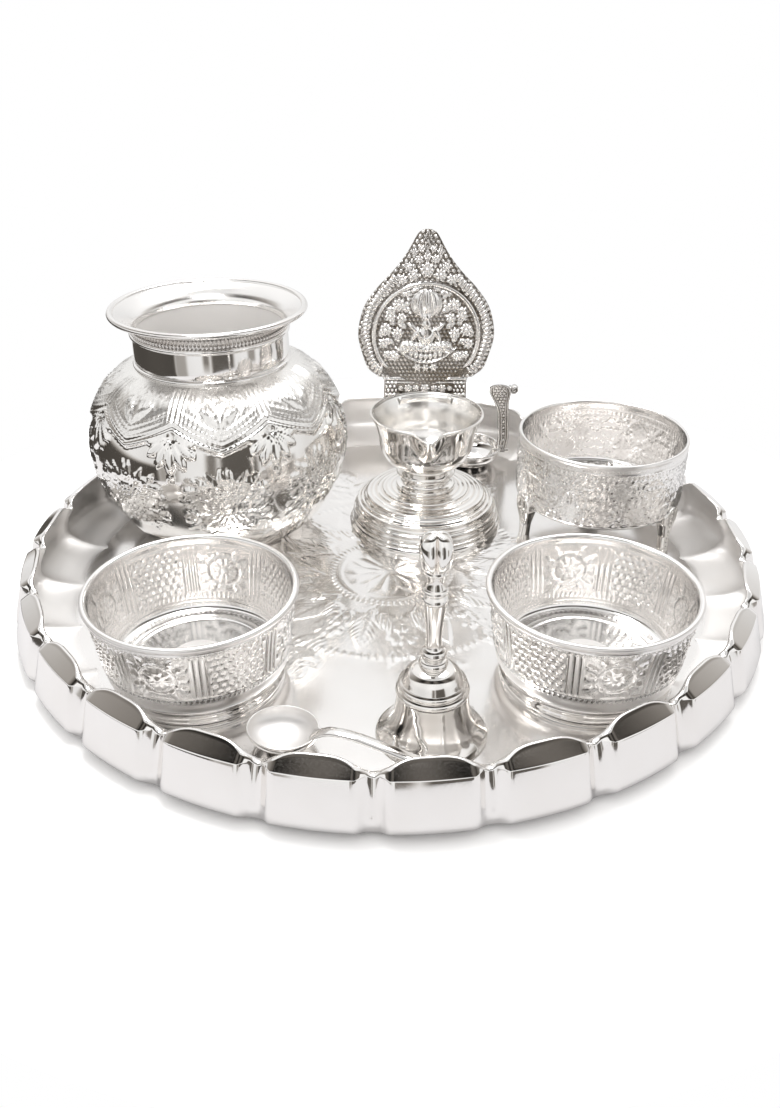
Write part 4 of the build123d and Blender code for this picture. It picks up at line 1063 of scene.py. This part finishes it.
def spoon_shape():
    """A shallow oval bowl with a thin rolled edge, and a slim arched handle."""
    turn = radians(-18.5)
    ahead, aside = np.array([cos(turn), sin(turn), 0.0]), np.array([-sin(turn), cos(turn), 0.0])
    half_x, half_y, depth, rim, wall = 11.2, 10.0, 6.4, 6.7, 0.6
    steps = np.linspace(pi / 2, 0, 15)
    outer = [(cos(a), rim - depth * sin(a)) for a in steps]
    edge = [(1.0, rim + 0.1), (0.992, rim + 0.22), (0.975, rim + 0.22), (0.96, rim + 0.1)]
    inner = [(0.955 * cos(a), rim - (depth - wall) * sin(a)) for a in steps[::-1]]
    points, faces, lift = lathe(outer + edge + inner, (0, 0), columns=96)
    points = points[:, :1] * half_x * ahead + points[:, 1:2] * half_y * aside + points[:, 2:] * UP
    bowl = points + np.array([*SPOON, 0.0]), faces, lift
    path = smooth_line([(9.4, 6.2), (12.5, 8.0), (15.8, 9.4), (22, 9.6), (28, 8.7), (45, 5.3), (56, 3.7),
                        (62, 3.2)], 0.8)
    spine = np.array([*SPOON, TRAY_SHEET]) + path[:, :1] * ahead + path[:, 1:] * UP
    widths = np.interp(path[:, 0], [9.4, 12, 16, 40, 54, 59, 61.4, 62],
                       [3.0, 2.3, 2.0, 2.0, 2.0, 1.9, 1.2, 0.3])
    heights = np.interp(path[:, 0], [9.4, 12, 16, 40, 60, 62], [0.5, 0.7, 0.75, 0.7, 0.65, 0.3])
    return joined(bowl, tube(spine, widths, heights, aside))


shaped_piece("offering_spoon_polished", spoon_shape(), mirror_silver,
             "spoon", "polished_silver", "offering_spoon", SPOON, satin=0.9)


# Camphor burner

HANDLE_LOW = 5.4
HANDLE_HIGH = 40.0

dish_line = section(
    (0, 0), [(4, 0), (8.3, 0)], [(11.4, 2.0), (13.8, 5.0), (14.7, 7.6)],
    [(15.0, 8.2), (14.7, 8.8), (14.2, 9.0), (13.8, 8.6)], [(12.9, 5.4), (10.8, 2.9), (7.9, 1.0)],
    [(4, 1.0), (0, 1.0)], spacing=0.6)
shaped_piece("camphor_dish_polished", lathe(dish_line, BURNER, columns=128), mirror_silver,
             "camphor_burner", "polished_silver", "camphor_dish")


def burner_handle_shape():
    """A broad strip with a scaled face that rises from the dish and nods forward, and a small scroll
    beside its top."""
    base = np.array([*BURNER, TRAY_SHEET])
    heights = np.linspace(HANDLE_LOW, HANDLE_HIGH, 86)
    half = np.interp(heights, [HANDLE_LOW, 12, 26, 30.5, 34.5, 38, 39.4, HANDLE_HIGH],
                     [2.2, 2.5, 2.7, 3.6, 5.0, 4.6, 3.0, 0.4])
    middle = np.interp(heights, [HANDLE_LOW, 12, 24, 32, HANDLE_HIGH], [15.0, 16.0, 15.4, 13.8, 12.2])
    nod = np.interp(heights, [HANDLE_LOW, 14, 26, 34, HANDLE_HIGH], [0.0, 1.6, 1.8, 0.2, -2.6])
    _, x, z, edge = strip(heights, half, 41)
    scales = 0.6 * dots(x, z, 1.6, 1.5, 0.75) * smooth_step(edge, 1.9, 2.3)
    lift = 0.5 * ridge(edge - 0.5, 0.45) + 0.4 * ridge(edge - 1.6, 0.4) + scales
    front, back = (np.stack([middle[:, None] + x, nod[:, None] + y + 0.05 * x * x, z], axis=-1)
                   for y in (-0.6 - 0.6 * lift, 0.6))
    points, faces, tone = grid_shell(front, back, 0.8 * lift - 0.32)
    t = np.linspace(0, 1.6 * tau, 40)
    reach = 2.1 - 0.16 * t
    curl = np.column_stack([19.4 + reach * np.cos(t + 2.6), 0 * t, 37.2 + reach * np.sin(t + 2.6)])
    scroll = tube(base + curl, np.full(40, 2.0), np.full(40, 0.55), np.array([0.0, 1.0, 0.0]), sides=12)
    return joined((points + base, faces, tone), scroll)


shaped_piece("camphor_handle_hooded", burner_handle_shape(), oxidised_silver,
             "camphor_burner", "cast_silver", "camphor_handle")


# The CAD nodes that stay: fasteners and the clapper
for node in ("lamp_plate_rivets", "lamp_tie_bolt", "lamp_tie_washer", "bell_clapper_hanger", "bell_clapper",
             "camphor_handle_rivet"):
    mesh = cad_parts[node].data
    mesh.materials.clear()
    mesh.materials.append(bright_steel)


# Stage, in metres: pale floor, soft studio light and the camera

FLOOR_RADIUS = 0.215
FLOOR_DROP = 0.0004
FLOOR_SIDES = 96
SENSOR_MM = 36
FOCAL_SHARE = 962 / 1108
CAMERA_PLACE = (0, -0.3217, 0.2009)
CAMERA_TILT_DEGREES = 31.2
CAMERA_SHIFT = 0.0058
GAP_SOFT = 0.05
RING_SOFT = 0.03
# gaps between the screens by left and right bearing, low and high, and depth: the way in, the camera's
# place, the dim left of the room in two steps, and one on the right
ROOM_GAPS = ((8, 40, -0.55, 0.42, 0.85), (-4, 5, -0.3, 0.4, 0.75), (-150, -45, -0.55, -0.02, 0.9),
             (-45, -28, -0.55, -0.02, 0.5), (62, 74, -0.55, -0.02, 0.6))


def make_floor():
    """A matt white disc just under the tray, a little greyer in the silver than to the eye."""
    mesh = bpy.data.meshes.new("floor")
    ring = [(FLOOR_RADIUS * cos(a), FLOOR_RADIUS * sin(a), -FLOOR_DROP)
            for a in np.arange(FLOOR_SIDES) * tau / FLOOR_SIDES]
    mesh.from_pydata(ring, [], [list(range(FLOOR_SIDES))])
    material = bpy.data.materials.new("pale_floor")
    material.use_nodes = True
    tree = material.node_tree
    shader = tree.nodes["Principled BSDF"]
    glossy = add(tree, "ShaderNodeLightPath")["Is Glossy Ray"]
    tone = add(tree, MIX, {0: glossy, 6: linear("#FDFCFB"), 7: linear("#C6C5C6")}, data_type="RGBA")[2]
    tree.links.new(tone, shader.inputs["Base Color"])
    shader.inputs["Roughness"].default_value = 0.9
    shader.inputs["Specular IOR Level"].default_value = 0.0
    mesh.materials.append(material)
    floor = bpy.data.objects.new("floor", mesh)
    bpy.context.scene.collection.objects.link(floor)


def window(tree, value, low, high, soft):
    """Nodes that give 1 while a value is between low and high, with soft edges."""
    opens = add(tree, RANGE, (value, low - soft, low + soft), interpolation_type="SMOOTHSTEP")[0]
    shuts = add(tree, RANGE, (value, high - soft, high + soft, 1.0, 0.0), interpolation_type="SMOOTHSTEP")[0]
    return add(tree, MATH, (opens, shuts), operation="MULTIPLY")[0]


def make_world():
    """A white tent for the eye and for soft light. Silver sees its darker side too: the room in front,
    between the table and the overhead light."""
    world = bpy.data.worlds.new("studio")
    bpy.context.scene.world = world
    world.use_nodes = True
    tree = world.node_tree
    tree.nodes.clear()
    paths = add(tree, "ShaderNodeLightPath")
    x, y, z = add(tree, "ShaderNodeSeparateXYZ", (add(tree, "ShaderNodeTexCoord")["Generated"],))
    # bearing from the front, positive to the right
    ahead = add(tree, MATH, (y, -1.0), operation="MULTIPLY")[0]
    bearing = add(tree, MATH, (x, ahead), operation="ARCTAN2")[0]
    # slow waves round the room: how bright the screens are, and how patchy the dark is
    waves = []
    for rate, shift, swing, middle in ((5.0, 0.5, 0.05, 0.98), (7.0, 1.1, 0.07, 0.94)):
        wave = add(tree, MATH, (bearing, rate, shift), operation="MULTIPLY_ADD")[0]
        wave = add(tree, MATH, (wave,), operation="COSINE")[0]
        waves.append(add(tree, MATH, (wave, swing, middle), operation="MULTIPLY_ADD")[0])
    screens, patches = waves
    # screens all round are a little dimmer low down and straight above
    low_down = add(tree, RANGE, (z, 0.1, 0.6, -0.14, 0.0), interpolation_type="SMOOTHSTEP")[0]
    seen = add(tree, MATH, (screens, low_down), operation="ADD")[0]
    ceiling = add(tree, RANGE, (z, 0.9, 0.985, 1.0, 0.7), interpolation_type="SMOOTHSTEP")[0]
    seen = add(tree, MATH, (seen, ceiling), operation="MULTIPLY")[0]
    # the overhead light leans in from the back, and a ring of dark room shows round it
    lean = add(tree, MATH, (y, 0.52), operation="MULTIPLY")[0]
    lean = add(tree, MATH, (z, 0.854, lean), operation="MULTIPLY_ADD")[0]
    fade = add(tree, MATH, (bearing,), operation="ABSOLUTE")[0]
    fade = add(tree, RANGE, (fade, radians(84), radians(138), 0.98, 0.0))[0]
    patches = add(tree, MATH, (patches, fade), operation="MULTIPLY")[0]
    dark = add(tree, MATH, (window(tree, lean, 0.36, 0.68, RING_SOFT), patches), operation="MULTIPLY")[0]
    for left, right, low, high, depth in ROOM_GAPS:
        gap = add(tree, MATH, (window(tree, z, low, high, GAP_SOFT), depth), operation="MULTIPLY")[0]
        side = window(tree, bearing, radians(left), radians(right), GAP_SOFT)
        gap = add(tree, MATH, (gap, side), operation="MULTIPLY")[0]
        dark = add(tree, MATH, (dark, gap), operation="MAXIMUM")[0]
    lit = add(tree, MATH, (1.0, dark), operation="SUBTRACT")[0]
    seen = add(tree, MATH, (seen, lit), operation="MULTIPLY")[0]
    # soft light on the table comes mostly from above
    above = add(tree, MATH, (z, 0.0), operation="MAXIMUM")[0]
    above = add(tree, MATH, (above, 1.05, 0.5), operation="MULTIPLY_ADD")[0]
    strength = add(tree, MIX, {0: paths["Is Glossy Ray"], 2: above, 3: seen}, data_type="FLOAT")[0]
    strength = add(tree, MIX, {0: paths["Is Camera Ray"], 2: strength, 3: 1.0}, data_type="FLOAT")[0]
    # the room behind the screens is a little warm
    warm = add(tree, MATH, (dark, paths["Is Glossy Ray"]), operation="MULTIPLY")[0]
    colour = add(tree, MIX, {0: warm, 6: linear("#FFFFFF"), 7: linear("#F2E6D8")}, data_type="RGBA")[2]
    backdrop = add(tree, "ShaderNodeBackground", {"Color": colour, "Strength": strength})[0]
    add(tree, "ShaderNodeOutputWorld", {"Surface": backdrop})


def make_light(name, place, aim, size, watts):
    """A soft rectangular light at a place, turned to its aim."""
    data = bpy.data.lights.new(name, "AREA")
    data.shape = "RECTANGLE"
    data.size, data.size_y = size
    data.energy = watts
    light = bpy.data.objects.new(name, data)
    bpy.context.scene.collection.objects.link(light)
    light.location = place
    light.rotation_euler = (Vector(aim) - Vector(place)).to_track_quat("-Z", "Y").to_euler()


def make_camera():
    """The camera that was fitted to the tray and its vessels, tilted down in front of the thali."""
    data = bpy.data.cameras.new("camera")
    data.lens = FOCAL_SHARE * SENSOR_MM
    data.sensor_width = SENSOR_MM
    data.shift_y = CAMERA_SHIFT
    data.clip_start, data.clip_end = 0.01, 20
    camera = bpy.data.objects.new("camera", data)
    bpy.context.scene.collection.objects.link(camera)
    camera.location = CAMERA_PLACE
    camera.rotation_euler = (radians(90 - CAMERA_TILT_DEGREES), 0, 0)
    bpy.context.scene.camera = camera


make_floor()
make_world()
make_light("overhead_softbox", (0.1, 0.36, 0.86), aim=(0, 0, 0.02), size=(0.7, 0.3), watts=3.0)
make_light("pot_light", (-0.06, -0.04, 0.27), aim=(-0.0692, 0.0412, 0.08), size=(0.08, 0.08), watts=0.3)
make_camera()
bpy.context.scene.view_settings.view_transform = "Standard"

bpy.context.view_layer.update()
